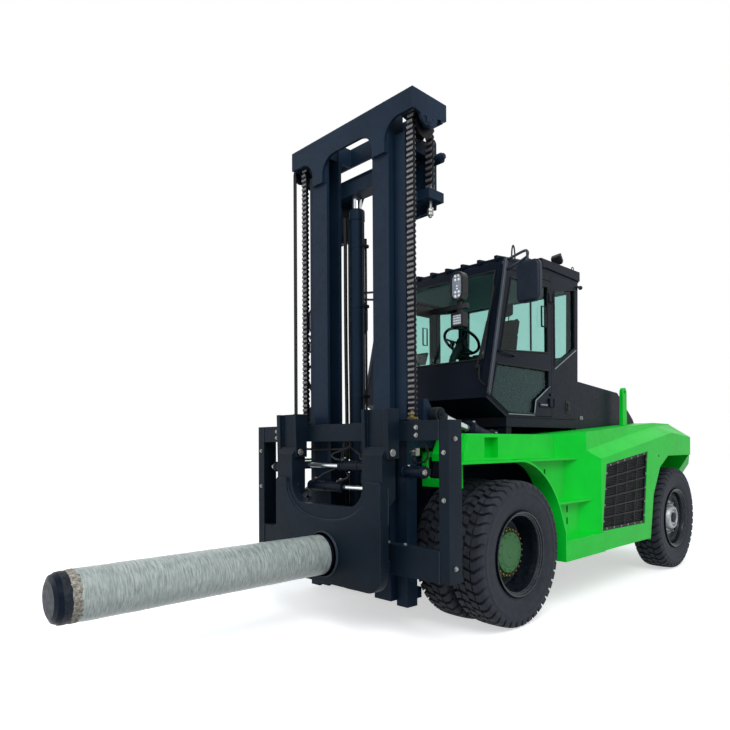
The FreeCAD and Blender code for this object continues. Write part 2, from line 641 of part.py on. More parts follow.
def mudguards():
    """The ledge and the curved guard behind the drive wheel, with its steps."""
    bend = "guard_back - ledge_plate - guard_curve"
    level = "ledge_z - ledge_plate - guard_curve"
    arc = (bend, "ledge_z - ledge_plate", f"{bend} + guard_curve * {SLANT}",
           f"{level} + guard_curve * {SLANT}")
    guard = Body("Guard").pad("YZ", [
        ("ledge_front", "ledge_z - ledge_plate"), ("guard_back - ledge_plate", "body_low"),
        ("guard_back", "body_low"), ("guard_back", level),
        (bend, "ledge_z", f"{bend} + (guard_curve + ledge_plate) * {SLANT}",
         f"{level} + (guard_curve + ledge_plate) * {SLANT}"),
        ("ledge_front", "ledge_z")],
        "wall_x", "step_low_x")
    guard.pocket("XZ", [
        ("ledge_out", "ledge_z + 5"), ("ledge_out", "ledge_z - ledge_plate - 20"),
        ("step_low_x", "guard_wide_z"), ("step_low_x + 10", "guard_wide_z"),
        ("step_low_x + 10", "ledge_z + 5")], "ledge_front - 10", "guard_back + 10")
    low = step("step_low_x", "guard_back - 5", "step_low_z", "body_low")
    mid = step("step_mid_x", "guard_back - 105", "step_mid_z", "step_mid_z - step_plate")
    top = step("ledge_out", "330", "ledge_z", "ledge_z - ledge_plate")
    risers = [
        plate_between("ledge_out - 70", "guard_back - 300", "step_mid_z", "ledge_z - ledge_plate"),
        plate_between("step_mid_x - 70", "guard_back - 20", "step_low_z", "step_mid_z - step_plate"),
    ]
    tyre_room = Body("TyreRoom").pad("YZ", [
        ("ledge_front - 5", "body_low - 5"), ("guard_back - ledge_plate", "body_low - 5"),
        ("guard_back - ledge_plate", level), arc,
        ("ledge_front - 5", "ledge_z - ledge_plate")], "wall_x - 5", "step_low_x + 15")
    slots = []
    for x, y, top_z in (("ledge_out - 70", "guard_back", "step_mid_z + 305"),
                        ("step_mid_x - 70", "guard_back + 270", "step_low_z + 290")):
        slots += [block((f"{x} - 20", f"{x} + 20"), (y, f"{y} + slot_width"),
                        (f"{top_z} - {drop} - slot_height", f"{top_z} - {drop}"))
                  for drop in (0, 115)]
    left = cut(fuse(guard.body, low, mid, top, *risers), tyre_room.body, *slots)
    keep(left, "steps_left")
    keep(mirrored(left), "steps_right")


def slant_y(x):
    """Where the slanted panel behind the steps stands at a given x."""
    return f"(bulge_start + (({x}) - wall_x) / bulge_slant)"


def step(out, front, top, low):
    """A tread from the wall out to an edge, running back to the slanted panel."""
    return Body("Step").pad("XY", [
        ("wall_x", front), (out, front), (out, slant_y(out)), ("wall_x", slant_y("wall_x"))],
        low, top).body


def plate_between(x, front, low, high):
    return block((f"{x} - 10", x), (front, slant_y(f"{x} - 10")), (low, high))


# ---------------------------------------------------------------- cab and hood
def cab_profile(inset):
    """The cab's side outline, drawn in by a wall."""
    return [
        (f"cab_back - {inset}", f"cab_floor + {inset}"),
        (f"cab_toe_y + {inset} * 0.4", f"cab_floor + {inset}"),
        (f"cab_nose_y + {inset}", f"cab_nose_z + {inset} * 0.4"),
        (f"brow_y + {inset}", f"brow_z - {inset}"),
        (f"roof_step + {inset} * 0.2", f"roof_z - 80 - {inset}"),
        (f"cab_back + 30 - {inset}", f"roof_z - 95 - {inset}"),
    ]


def door_outline(gap):
    """The door opening in side view, drawn in all round by a gap."""
    return [
        (f"door_back - {gap}", f"cab_floor + 15 + {gap}"),
        (f"cab_toe_y + 35 + {gap} * 0.4", f"cab_floor + 15 + {gap}"),
        (f"cab_nose_y + pillar / 2 + {gap}", f"cab_nose_z + 10 + {gap} * 0.4"),
        (f"brow_y + pillar / 2 + {gap}", f"brow_z - 70 - {gap}"),
        (f"door_back - {gap}", f"brow_z - 50 - {gap}"),
    ]


def upper_light(inset):
    """The door's upper window."""
    return [
        (f"door_back - 75 - {inset}", f"rail_high + {inset}"),
        (f"cab_nose_y + 230 + {inset}", f"rail_high - 55 + {inset}"),
        (f"brow_y + 115 + {inset}", f"brow_z - 140 - {inset}"),
        (f"door_back - 75 - {inset}", f"brow_z - 120 - {inset}"),
    ]


def lower_light(inset):
    """The door's many-sided lower window."""
    return [
        (f"door_back - 60 - {inset}", f"rail_low - {inset}"),
        (f"door_back - 60 - {inset}", f"2105 + {inset} * 0.6"),
        (f"970 - {inset} * 0.5", f"1945 + {inset} * 0.3"),
        (f"940 - {inset}", f"cab_floor + 38 + {inset}"),
        (f"cab_toe_y + 54 + {inset} * 0.4", f"cab_floor + 38 + {inset}"),
        (f"cab_nose_y + 85 + {inset}", f"cab_nose_z + 20 + {inset} * 0.4"),
        (f"cab_nose_y + 180 + {inset}", f"rail_low - {inset}"),
    ]


def quarter_light(inset):
    """The fixed window behind the door, with its slanted foot."""
    return [
        (f"cab_back - 50 - {inset}", f"2560 + {inset}"), (f"door_back + 60 + {inset}", f"2330 + {inset}"),
        (f"door_back + 60 + {inset}", f"3110 - {inset}"), (f"cab_back - 50 - {inset}", f"3190 - {inset}"),
    ]


def windscreen(inset):
    """The front window, its lower corners cut off."""
    half = f"(cab_half - 85 - {inset})"
    return [
        (half, f"sill_z + {inset}"), (half, f"brow_z - 90 - {inset}"),
        (f"-{half}", f"brow_z - 90 - {inset}"), (f"-{half}", f"sill_z + 130 + {inset}"),
        (f"-{half} + 330", f"sill_z + {inset}"),
    ]


def rear_light(inset):
    half = f"(cab_half - 110 - {inset})"
    return [(half, f"2480 + {inset}"), (half, f"3180 - {inset}"),
            (f"-{half}", f"3180 - {inset}"), (f"-{half}", f"2480 + {inset}")]


def sunroof(inset):
    half = f"(cab_half - 120 - {inset})"
    return [(half, f"brow_y + 160 + {inset}"), (half, f"roof_step - 60 - {inset}"),
            (f"-{half}", f"roof_step - 60 - {inset}"), (f"-{half}", f"brow_y + 160 + {inset}")]


def cab_frame():
    """The welded cab as its real panels: two sides, front, roof, rear and floor."""
    side = Body("CabSide").pad("YZ", cab_profile("0"), "cab_half - cab_wall", "cab_half")
    side.pocket("YZ", door_outline("0"), "cab_half - cab_wall - 5", "cab_half + 5")
    side.pocket("YZ", quarter_light("0"), "cab_half - cab_wall - 5", "cab_half + 5")
    keep(both(side.body), "cab_sides")
    outer, inner = cab_profile("0"), cab_profile("cab_wall")
    half = "cab_half - cab_wall"
    panels = {}
    for name, corners in (("cab_pan", (0, 1)), ("cab_front", (1, 2, 3)),
                          ("cab_roof", (3, 4, 5)), ("cab_rear", (5, 0))):
        strip = [outer[i] for i in corners] + [inner[i] for i in reversed(corners)]
        panels[name] = Body("Panel").pad("YZ", strip, f"-({half})", half)
    panels["cab_front"].pocket("XZ", windscreen("0"), "cab_nose_y - 50", "roof_step - 200")
    panels["cab_rear"].pocket("XZ", rear_light("0"), "cab_back - cab_wall - 40", "cab_back + 60")
    panels["cab_roof"].pocket("XY", sunroof("0"), "brow_z - 60", "roof_z")
    for name, panel in panels.items():
        keep(panel.body, name)


def brow(y):
    """The height of the cab's sloping front roof at a distance behind the drive axle."""
    return f"(brow_z + (({y}) - brow_y) * (roof_z - 80 - brow_z) / (roof_step - brow_y))"


def roof():
    """The rear roof slab and the guard bars over the front glass."""
    slab = Body("RoofSlab").pad("YZ", [
        ("cab_back + 50", "roof_z - 95 + seat_gap"), ("roof_step", "roof_z - 80 + seat_gap"),
        ("roof_step - 40", "roof_z"), ("cab_back + 50", "roof_z + 5")],
        "-cab_half - 15", "cab_half + 15")
    front, back = "brow_y - 10", "roof_step - 45"
    bars = []
    for i in range(8):
        x = f"-cab_half + 90 + {i} * (cab_half * 2 - 180) / 7"
        bars.append(Body("GuardBar").pad("YZ", [
            (front, brow(front) + " + 12"), (back, brow(back) + " + 12"),
            (back, brow(back) + " + 60"), (front, brow(front) + " + 60")],
            f"{x} - 15", f"{x} + 15").body)
    rails = [Body("GuardRail").pad("YZ", [
        (low, brow(low) + " + seat_gap"), (high, brow(high) + " + seat_gap"),
        (high, brow(high) + " + 40"), (low, brow(low) + " + 40")],
        "-cab_half + 20", "cab_half - 20").body
        for low, high in (("brow_y + 20", "brow_y + 60"), ("roof_step - 85", "roof_step - 45"))]
    keep(fuse(slab.body, *rails, *bars), "roof_guard")


def cab_glass():
    """Fixed panes: windscreen, rear, roof and both quarter lights."""
    front = Body("FrontPane").pad("YZ", [
        ("cab_nose_y + 18", "sill_z - 300"), ("cab_nose_y + 18 + glass", "sill_z - 300"),
        ("brow_y + 14 + glass", "brow_z - 50"), ("brow_y + 14", "brow_z - 50")],
        "-cab_half", "cab_half")
    slice_of = Body("FrontShape").pad("XZ", windscreen("seat_gap"), "0", "roof_step")
    pane = doc.addObject("Part::Common", "FrontGlass")
    pane.Base = front.body
    pane.Tool = slice_of.body
    rear = Body("RearPane").pad("XZ", rear_light("seat_gap"), "cab_back - 25", "cab_back - 25 + glass")
    quarter = Body("QuarterPane").pad(
        "YZ", quarter_light("seat_gap"), "cab_half - 24", "cab_half - 24 + glass")
    keep(group(pane, rear.body, quarter.body, mirrored(quarter.body)), "cab_glass")


def doors():
    """A framed door with a window above and below its mid rail, and the panes in it."""
    door = Body("Door").pad("YZ", door_outline("moving_gap"), "cab_half - 40", "cab_half")
    door.pocket("YZ", upper_light("0"), "cab_half - 50", "cab_half + 10")
    door.pocket("YZ", lower_light("0"), "cab_half - 50", "cab_half + 10")
    hinges = [rod("Z", ("door_hinge_x", "door_back + 8", z), 12, 90) for z in ("1900", "2980")]
    straps = [block(("cab_half", "door_hinge_x"), ("door_back - 60", "door_back + 8"),
                    (f"{z} + 20", f"{z} + 70")) for z in ("1900", "2980")]
    left = fuse(door.body, *hinges, *straps)
    keep(left, "door_left")
    keep(mirrored(left), "door_right")
    upper = Body("UpperPane").pad("YZ", upper_light("seat_gap"), "cab_half - 24", "cab_half - 24 + glass")
    lower = Body("LowerPane").pad("YZ", lower_light("seat_gap"), "cab_half - 24", "cab_half - 24 + glass")
    panes = group(upper.body, lower.body)
    keep(panes, "door_glass_left")
    keep(mirrored(panes), "door_glass_right")


def cab_base():
    """The plinth and rubber mounts that carry the cab."""
    under = deck("cab_back") + " + 15"
    plinth = block(("-cab_half + 10", "cab_half - 10"), ("cab_toe_y + 20", "cab_back - 10"),
                   (under, "cab_floor"))
    feet = [block((x, f"{x} + 90"), ("cab_toe_y + 60", "cab_toe_y + 150"), ("deck_z", under))
            for x in ("-cab_half + 40", "cab_half - 130")]
    heel = block(("-cab_half + 40", "cab_half - 40"), ("cab_back - 60", "cab_back - 20"),
                 (deck("cab_back - 20"), under))
    keep(fuse(plinth, heel, *feet), "cab_base")


def seat():
    cushion = block((-250, 250), ("950", "1480"), ("cab_floor + 470", "cab_floor + 600"))
    back = Body("SeatBack").pad("YZ", [
        ("1420", "cab_floor + 600"), ("1540", "cab_floor + 590"), ("1650", "cab_floor + 1190"),
        ("1560", "cab_floor + 1200")], "-240", "240")
    rest = block((-130, 130), ("1570", "1650"), ("cab_floor + 1190", "cab_floor + 1380"))
    stand = block((-200, 200), ("1020", "1440"), ("cab_floor + cab_wall", "cab_floor + 470"))
    keep(fuse(cushion, back.body, rest, stand), "seat")


def dashboard():
    column = pitched_rod(0, "640", "cab_floor + cab_wall + 20", "130", "760", "0", 55, 820)
    wheel = cut(rod("Z", (0, "780", "cab_floor + 866"), 216, 28),
                rod("Z", (0, "780", "cab_floor + 865"), 186, 30))
    spoke = block((-195, 195), ("762", "798"), ("cab_floor + 866", "cab_floor + 886"))
    panel = Body("Panel").pad("YZ", [
        ("330", "cab_floor + 400"), ("620", "cab_floor + 420"), ("600", "cab_floor + 640"),
        ("330", "cab_floor + 590")], "-cab_half + cab_wall + 10", "cab_half - cab_wall - 10")
    box = block((-220, 220), ("480", "610"), ("cab_floor + cab_wall", "cab_floor + 410"))
    keep(fuse(column, wheel, spoke, panel.body, box), "dashboard")


def hood():
    """A hollow black lid behind the cab."""
    outer = [("hood_front", deck("hood_front") + " + seat_gap"), ("hood_front", "hood_peak"),
             ("hood_knee", "hood_knee_z"), ("hood_back - 40", "hood_knee_z - 310"),
             ("hood_back", deck("hood_back") + " + seat_gap")]
    inner = [("hood_front + hood_plate", deck("hood_front") + " - 20"),
             ("hood_front + hood_plate", "hood_peak - hood_plate"),
             ("hood_knee - 5", "hood_knee_z - hood_plate"),
             ("hood_back - 40 - hood_plate", "hood_knee_z - 315"),
             ("hood_back - hood_plate", deck("hood_back") + " - 20")]
    lid = Body("Hood").pad("YZ", outer, "-hood_half", "hood_half")
    lid.pocket("YZ", inner, "-hood_half + hood_plate", "hood_half - hood_plate")
    keep(lid.body, "hood")


def lifting_lugs():
    """A tall green ear each side of the hood, rounded over its eye."""
    half = "lug_width / 2"
    ear = Body("Lug").pad("YZ", [
        (f"lug_y + {half}", deck("lug_y") + " + 8"), (f"lug_y + {half}", f"lug_top - {half}"),
        (f"lug_y - {half}", f"lug_top - {half}", "lug_y", "lug_top"),
        (f"lug_y - {half}", deck("lug_y") + " + 8")],
        "lug_x - lug_plate / 2", "lug_x + lug_plate / 2",
        circles=[("lug_y", f"lug_top - {half}", "lug_hole")])
    foot = Body("LugFoot").pad("YZ", [
        (f"lug_y - {half}", deck(f"lug_y - {half}")), (f"lug_y + {half}", deck(f"lug_y + {half}")),
        (f"lug_y + {half}", deck("lug_y") + " + 8"), (f"lug_y - {half}", deck("lug_y") + " + 8")],
        "lug_x - lug_plate / 2", "lug_x + lug_plate / 2")
    keep(both(fuse(ear.body, foot.body)), "lifting_lugs")


def mirrors():
    """A mirror on a bent arm at each front corner of the roof."""
    arm_low = block(("cab_half", "1140"), ("385", "407"), ("3010", "3032"))
    arm_high = block(("cab_half", "1140"), ("415", "437"), ("3150", "3172"))
    post = block(("1118", "1140"), ("385", "437"), ("2900", "3172"))
    reach = block(("1118", "1140"), ("298", "407"), ("2900", "2922"))
    head = Body("MirrorHead").pad("XZ", [
        ("1020", "2790"), ("1280", "2790"), ("1280", "3110"), ("1020", "3110")], "262", "300")
    head.round("Y", [("1020", "2790"), ("1280", "2790"), ("1280", "3110"), ("1020", "3110")], 45)
    keep(both(fuse(arm_low, arm_high, post, reach, head.body)), "mirrors")


# ---------------------------------------------------------------- mast
def channel(inner, outer, front, low, high):
    """A rail open towards the truck's middle, with a web outside and two flanges."""
    return Body("Rail").pad("XY", [
        (inner, front), (outer, front), (outer, "mast_back"), (inner, "mast_back"),
        (inner, "mast_back - rail_plate"), (f"{outer} - rail_plate", "mast_back - rail_plate"),
        (f"{outer} - rail_plate", f"{front} + rail_plate"), (inner, f"{front} + rail_plate")],
        low, high)


def pivot_ear(x):
    """A plate from the outer mast's foot back to the frame's pin, bored to turn on it."""
    return Body("PivotEar").pad("YZ", [
        ("tie_front + 1", "pivot_z + 230"), ("tie_front + 1", "pivot_z - 230"),
        ("pivot_y", "pivot_z - 105"), ("pivot_y", "pivot_z + 105", "pivot_y + 105", "pivot_z")],
        f"{x} - 45", f"{x} + 45",
        circles=[("pivot_y", "pivot_z", "pivot_radius + running_fit")])


def outer_mast():
    """The fixed rails with the rear chains' anchors."""
    rail = channel("outer_in", "outer_out", "mast_front + rail_step", "mast_low", "outer_top")
    anchor = block(("outer_out", "chain_x + 60"), ("mast_back + 30", "tie_back"),
                   ("anchor_z", "anchor_z + 80"))
    anchor_web = block(("outer_out - 20", "outer_out"), ("mast_back", "tie_back - tie_plate - 2"),
                       ("anchor_z", "anchor_z + 80"))
    plate = Body("AnchorPlate").pad("YZ", [
        ("tie_back - 40", "anchor_z"), ("tie_back + 35", "anchor_z"),
        ("tie_back + 35", "outer_top"),
        ("tie_back - 40", "outer_top", "tie_back - 2", "outer_top + 37")],
        "outer_out + seat_gap", "outer_out + 25")
    boss = rod("X", ("outer_out + 20", "tie_back", "anchor_z + 390"), 42, 90)
    bolts = [rod("Z", ("chain_x", y, "anchor_z - 55"), 14, 60)
             for y in ("tie_back - 110", "tie_back - 45")]
    keep(both(fuse(rail.body, anchor, anchor_web, plate.body, boss, *bolts)), "outer_mast")


def mast_foot():
    """The rails' foot: a cross-member and the two ears that hang it on the frame's pins."""
    ear = pivot_ear("365")
    ear_base = block(("320", "outer_in + 20"), ("tie_front", "tie_front + 50"),
                     ("pivot_z - 230", "pivot_z + 230"))
    joins = [block(("outer_in", "outer_in + 20"), ("mast_back + seat_gap", "tie_front"), z)
             for z in (("pivot_z - 230", "pivot_z + 230"), ("mast_low + 20", "mast_low + 110"))]
    left = fuse(ear.body, ear_base, *joins)
    bar = block(("-outer_in - 20", "outer_in + 20"), ("tie_front", "lift_y + lift_radius + 10"),
                ("mast_low + 20", "mast_low + 110"))
    return fuse(left, mirrored(left), bar)


def mast_tie(low):
    """A cross-member behind the rails, bent forward to them at its ends."""
    height = (low, f"{low} + tie_height")
    end = block(("outer_in", "outer_out"), ("mast_back + seat_gap", "tie_back"), height)
    bar = block(("-outer_out", "outer_out"), ("tie_back - tie_plate", "tie_back"), height)
    return fuse(end, mirrored(end), bar)


def top_tie():
    """The rails' top cross-member, arched over the lift cylinders' heads."""
    low = "outer_top - arch_leg"
    spring = "outer_top - 240 - arch_half / 2"
    plate = Body("TopTie").pad("XZ", [
        ("-outer_out", "outer_top"), ("-outer_out", low), ("-arch_half", low),
        ("-arch_half", spring),
        ("arch_half", spring, "0", f"{spring} + arch_half"),
        ("arch_half", low), ("outer_out", low), ("outer_out", "outer_top")],
        "tie_back - tie_plate", "tie_back")
    end = block(("outer_in", "outer_out"), ("mast_back + seat_gap", "tie_back - tie_plate + 1"),
                ("outer_top - tie_height", "outer_top"))
    return fuse(plate.body, end, mirrored(end))


def mast_ties():
    """What joins the two fixed rails: their foot, a low tie and an arched one on top."""
    keep(group(mast_foot(), mast_tie("tie_low"), top_tie()), "mast_ties")


def tilt_lugs():
    """The lugs on the rails' sides that the tilt rods pin to."""
    bar = block(("outer_out + seat_gap", "tilt_x - 55"), ("mast_back - 50", "mast_back"),
                ("tilt_eye_z - 130", "tilt_eye_z + 130"))
    lug = Body("TiltLug").pad("YZ", [
        ("mast_back", "tilt_eye_z - 130"), ("tilt_eye_y", "tilt_eye_z - 60"),
        ("tilt_eye_y", "tilt_eye_z + 60", "tilt_eye_y + 60", "tilt_eye_z"),
        ("mast_back", "tilt_eye_z + 130")], "tilt_x - 95", "tilt_x - 55")
    pin = rod("X", ("tilt_x - 56", "tilt_eye_y", "tilt_eye_z"), "tilt_pin", 100)
    keep(both(fuse(bar, lug.body, pin)), "tilt_lugs")


def head_front():
    """The head's front plate: an arch over the lift rods and one over each chain."""
    top, brow = "mast_top", "mast_top - beam_height"
    low = "mast_top - head_drop"
    reach = f"leg_curve * {round(1 - SLANT, 6)}"
    right = [
        ("beam_half", top), ("beam_half", brow), ("leg_out + leg_curve", brow),
        ("leg_out", f"{brow} - leg_curve", f"leg_out + {reach}", f"{brow} - {reach}"),
        ("leg_out", low), ("leg_in", low), ("leg_in", f"{brow} - 28 - leg_curve"),
        ("leg_in - leg_curve", f"{brow} - 28", f"leg_in - {reach}", f"{brow} - 28 - {reach}")]
    left = [("-(leg_in - leg_curve)", f"{brow} - 28"),
            ("-leg_in", f"{brow} - 28 - leg_curve", f"-(leg_in - {reach})", f"{brow} - 28 - {reach}"),
            ("-leg_in", low), ("-leg_out", low), ("-leg_out", f"{brow} - leg_curve"),
            ("-(leg_out + leg_curve)", brow, f"-(leg_out + {reach})", f"{brow} - {reach}"),
            ("-beam_half", brow), ("-beam_half", top)]
    return Body("HeadFront").pad("XZ", right + left, "beam_front", "beam_front + head_plate").body


def head_cheek(low, high, back):
    """A plate across the head that holds one end of a sheave's pin."""
    return Body("HeadCheek").pad("YZ", [
        ("beam_front + 1", "mast_top"), ("beam_front + 1", "mast_top - end_drop - 21"),
        ("sheave_y - 105", "mast_top - end_drop - 41"),
        ("sheave_y + 105", "mast_top - end_drop - 21", "sheave_y", "sheave_z - 50"),
        (back, "mast_top - end_drop"), (back, "mast_top")], low, high).body


def inner_mast():
    """The rising rails under an arched head that carries the chain sheaves."""
    rail = channel("inner_in", "inner_out", "mast_front", "inner_low", "mast_top - rail_drop")
    weld = block(("inner_in", "inner_out"), ("beam_front + head_plate - 1", "mast_front + 1"),
                 ("mast_top - head_drop", "mast_top - rail_drop"))
    cheeks = [head_cheek("beam_half - 25", "beam_half", "beam_back"),
              head_cheek("outer_out + moving_gap", "outer_out + 22", "beam_back - back_inset")]
    web = block(("leg_in", "leg_in + head_plate"),
                ("beam_front + 1", "beam_back - back_inset - 1"),
                ("mast_top - beam_height", "mast_top"))
    pin = rod("X", ("outer_out + 10", "sheave_y", "sheave_z"), "sheave_pin", "beam_half - outer_out - 20")
    side = fuse(rail.body, weld, web, pin, *cheeks)
    back = block(("-beam_half", "beam_half"),
                 ("beam_back - back_inset - head_plate", "beam_back - back_inset"),
                 ("mast_top - beam_height", "mast_top"))
    push = block(("-inner_out", "inner_out"), ("mast_back - 1", "lift_y + 60"),
                 ("tie_z", "tie_z + tie_height"))
    low = block(("-inner_in", "inner_in"), ("mast_back - 30", "mast_back"),
                ("inner_low + 40", "inner_low + 240"))
    keep(fuse(side, mirrored(side), head_front(), back, push, low), "inner_mast")


def sheaves():
    """Chain wheels on short pins at each end of the head beam."""
    wheel = Body("Sheave").turn([
        ("chain_x - 42", "sheave_pin + running_fit"), ("chain_x + 42", "sheave_pin + running_fit"),
        ("chain_x + 42", "sheave_radius + 18"), ("chain_x + 34", "sheave_radius"),
        ("chain_x - 34", "sheave_radius"), ("chain_x - 42", "sheave_radius + 18")], "0")
    bind(wheel.body, Placement__Base__y="sheave_y + axle_y", Placement__Base__z="sheave_z")
    keep(both(wheel.body), "mast_sheaves")


def chains():
    """Leaf chains: each runs from its anchor up over the sheave and down to the carriage."""
    x = ("chain_x - chain_width / 2 + 2", "chain_x + chain_width / 2 - 2")
    near = "sheave_y - sheave_radius"
    far = "sheave_y + sheave_radius"
    rear = block(x, (f"{far} + seat_gap", f"{far} + chain_thick"), ("anchor_z + 80", "sheave_z"))
    keep(both(rear), "chain_rear")
    front = block(x, (f"{near} - chain_thick", f"{near} - seat_gap"), ("carriage_top + 20", "sheave_z"))
    keep(both(front), "chain_front")


def lift_cylinders():
    """Two upright lift cylinders on the outer mast; their rods push the inner mast."""
    low = "mast_low + 110"
    barrel = rod("Z", ("lift_x", "lift_y", low), "lift_radius", f"lift_top - ({low})")
    hole = rod("Z", ("lift_x", "lift_y", "lift_top - 400"), "lift_rod + running_fit", 401)
    keep(both(cut(barrel, hole)), "lift_barrels")
    piston = rod("Z", ("lift_x", "lift_y", "lift_top - 399"), "lift_rod", "tie_z + 399 - lift_top")
    keep(both(piston), "lift_rods")


def mast_lamps():
    """A bar on each rail with a tall oval lamp above it and a square one below."""
    centre, bar_z = "(outer_out + 310)", "2650"
    bar = block(("outer_out", f"{centre} + 80"), ("tie_back - 45", "tie_back - 5"),
                (f"{bar_z} - 20", f"{bar_z} + 20"))
    arm = block(("outer_out - 30", "outer_out"), ("mast_back", "tie_back - 5"),
                (f"{bar_z} - 40", f"{bar_z} + 40"))
    wide, low, high = "65", f"{bar_z} + 105", f"{bar_z} + 220"
    tall = Body("TallLamp").pad("XZ", [
        (f"{centre} - {wide}", low), (f"{centre} + {wide}", low, centre, f"{low} - {wide}"),
        (f"{centre} + {wide}", high), (f"{centre} - {wide}", high, centre, f"{high} + {wide}")],
        "tie_back - 70", "tie_back")
    tall.pocket("XZ", [
        (f"{centre} - {wide} + 10", low),
        (f"{centre} + {wide} - 10", low, centre, f"{low} - {wide} + 10"),
        (f"{centre} + {wide} - 10", high),
        (f"{centre} - {wide} + 10", high, centre, f"{high} + {wide} - 10")],
        "tie_back - 71", "tie_back - 62")
    stem = block((f"{centre} - 15", f"{centre} + 15"), ("tie_back - 40", "tie_back - 10"),
                 (f"{bar_z} - 170", f"{bar_z} + 45"))
    square = block((f"{centre} - 60", f"{centre} + 60"), ("tie_back - 70", "tie_back"),
                   (f"{bar_z} - 167", f"{bar_z} - 52"))
    face = block((f"{centre} - 51", f"{centre} + 51"), ("tie_back - 71", "tie_back - 62"),
                 (f"{bar_z} - 158", f"{bar_z} - 61"))
    keep(both(fuse(bar, arm, tall.body, stem, cut(square, face))), "mast_lamps")


# ---------------------------------------------------------------- carriage and ram
def carriage():
    """Top and bottom beams between end columns, on roller plates that ride in the mast."""
    top = block(("-carriage_half", "carriage_half"), ("carriage_front", "carriage_front + beam_plate"),
                ("carriage_top - top_beam", "carriage_top"))
    low = block(("-carriage_half", "carriage_half"), ("carriage_front", "carriage_front + beam_plate"),
                ("carriage_low", "carriage_low + low_beam"))
    column = block(("carriage_half - column", "carriage_half"), ("carriage_front", "column_back"),
                   ("carriage_low", "carriage_top"))
    runner = block(("roller_x - 45", "roller_x - 5"), ("carriage_front + beam_plate - 4", "mast_back - 60"),
                   ("carriage_low", "carriage_top"))
    rollers = [rod("X", ("roller_x - 6", "(mast_front + mast_back) / 2", z),
                   "(mast_back - mast_front) / 2 - rail_plate - moving_gap", 190)
               for z in ("carriage_low + 120", "carriage_top - 160")]
    bracket = block(("chain_x - 60", "chain_x + 60"),
                    ("carriage_front + beam_plate", "sheave_y - sheave_radius + 5"),
                    ("carriage_top - 70", "carriage_top + 20"))
    cradles = [rod("X", ("roller_x - 50", "shift_y", z), "shift_barrel + seat_gap", 60)
               for z in ("shift_high", "shift_low")]
    half = cut(fuse(column, runner, bracket, *rollers), *cradles)
    keep(fuse(top, low, half, mirrored(half)), "carriage")


def shift_cylinders():
    """Two side-shift cylinders across the carriage, each rod pinned to one arm of the ram."""
    barrels = []
    pistons = []
    for start, z in ((12, "shift_high"), ("-arm_in + 20", "shift_low")):
        barrel = rod("X", (start, "shift_y", z), "shift_barrel", "arm_in - 32")
        bore = rod("X", (f"{start} - 1", "shift_y", z), "shift_rod + running_fit", "arm_in - 30")
        barrels.append(cut(barrel, bore))
    for start, length, z in (("-arm_in", "arm_in + 240", "shift_high"),
                             (-200, "arm_in + 200", "shift_low")):
        pistons.append(rod("X", (start, "shift_y", z), "shift_rod", length))
    keep(group(*barrels), "shift_barrels")
    keep(group(*pistons), "shift_rods")


def ram_plate():
    """The deep plate of the coil ram, its two arms hooked over the carriage's top beam."""
    half, low, corner = "ram_half", "ram_low", "ram_corner"
    diagonal = f"{corner} * 0.2929"
    plate = Body("RamPlate").pad("XZ", [
        (half, "arm_top - 60"),
        ("arm_in", "arm_top - 60"),
        ("arm_in", "cup_z + 140"),
        ("arm_in - 190", "cup_z - 20", "arm_in - 56", "cup_z + 27"),
        ("-arm_in + 190", "cup_z - 20"),
        ("-arm_in", "cup_z + 140", "-arm_in + 56", "cup_z + 27"),
        ("-arm_in", "arm_top - 60"),
        (f"-{half}", "arm_top - 60"),
        (f"-{half}", f"{low} + {corner}"),
        (f"-{half} + {corner}", low, f"-{half} + {diagonal}", f"{low} + {diagonal}"),
        (f"{half} - {corner}", low),
        (half, f"{low} + {corner}", f"{half} - {diagonal}", f"{low} + {diagonal}")],
        "ram_front", "ram_front + ram_plate")
    back = "carriage_front - seat_gap"
    arm = Body("Arm").pad("YZ", [
        ("ram_front + 4", "arm_top - 70"), ("ram_front + 40", "arm_top"), (back, "arm_top"),
        (back, "shift_low - 60"), ("ram_front + ram_plate - 4", "shift_low - 130"),
        ("ram_front + 4", "shift_low - 130")], "arm_in", "ram_half")
    hook = Body("Hook").pad("YZ", [
        ("ram_front + 60", "arm_top - 5"), ("ram_front + 60", "cheek_top"),
        ("carriage_front + 40", "cheek_top"), ("carriage_front + 40", "carriage_top + seat_gap"),
        (back, "carriage_top + seat_gap"), (back, "arm_top - 5")], "arm_in", "ram_half")
    cheeks = [Body("Cheek").pad("YZ", [
        ("ram_front + 30", "arm_top - 90"), ("ram_front + 20", "cheek_top"),
        (back, "cheek_top"), (back, "arm_top - 90")], *x).body
        for x in (("arm_in - 28", "arm_in + 4"), ("ram_half - 4", "ram_half + 42"))]
    lugs = [block(x, (f"{back} - 5", "shift_y + 30"), (f"{z} - 35", f"{z} + 35"))
            for x, z in ((("arm_in", "arm_in + 40"), "shift_low"),
                         (("-arm_in - 40", "-arm_in"), "shift_high"))]
    half_set = fuse(arm.body, hook.body, *cheeks)
    rest = block(("-ram_half + 60", "ram_half - 60"), ("ram_front + ram_plate - 1", back),
                 ("ram_low + 160", "ram_low + 240"))
    keep(fuse(plate.body, half_set, mirrored(half_set), rest, *lugs), "ram_plate")


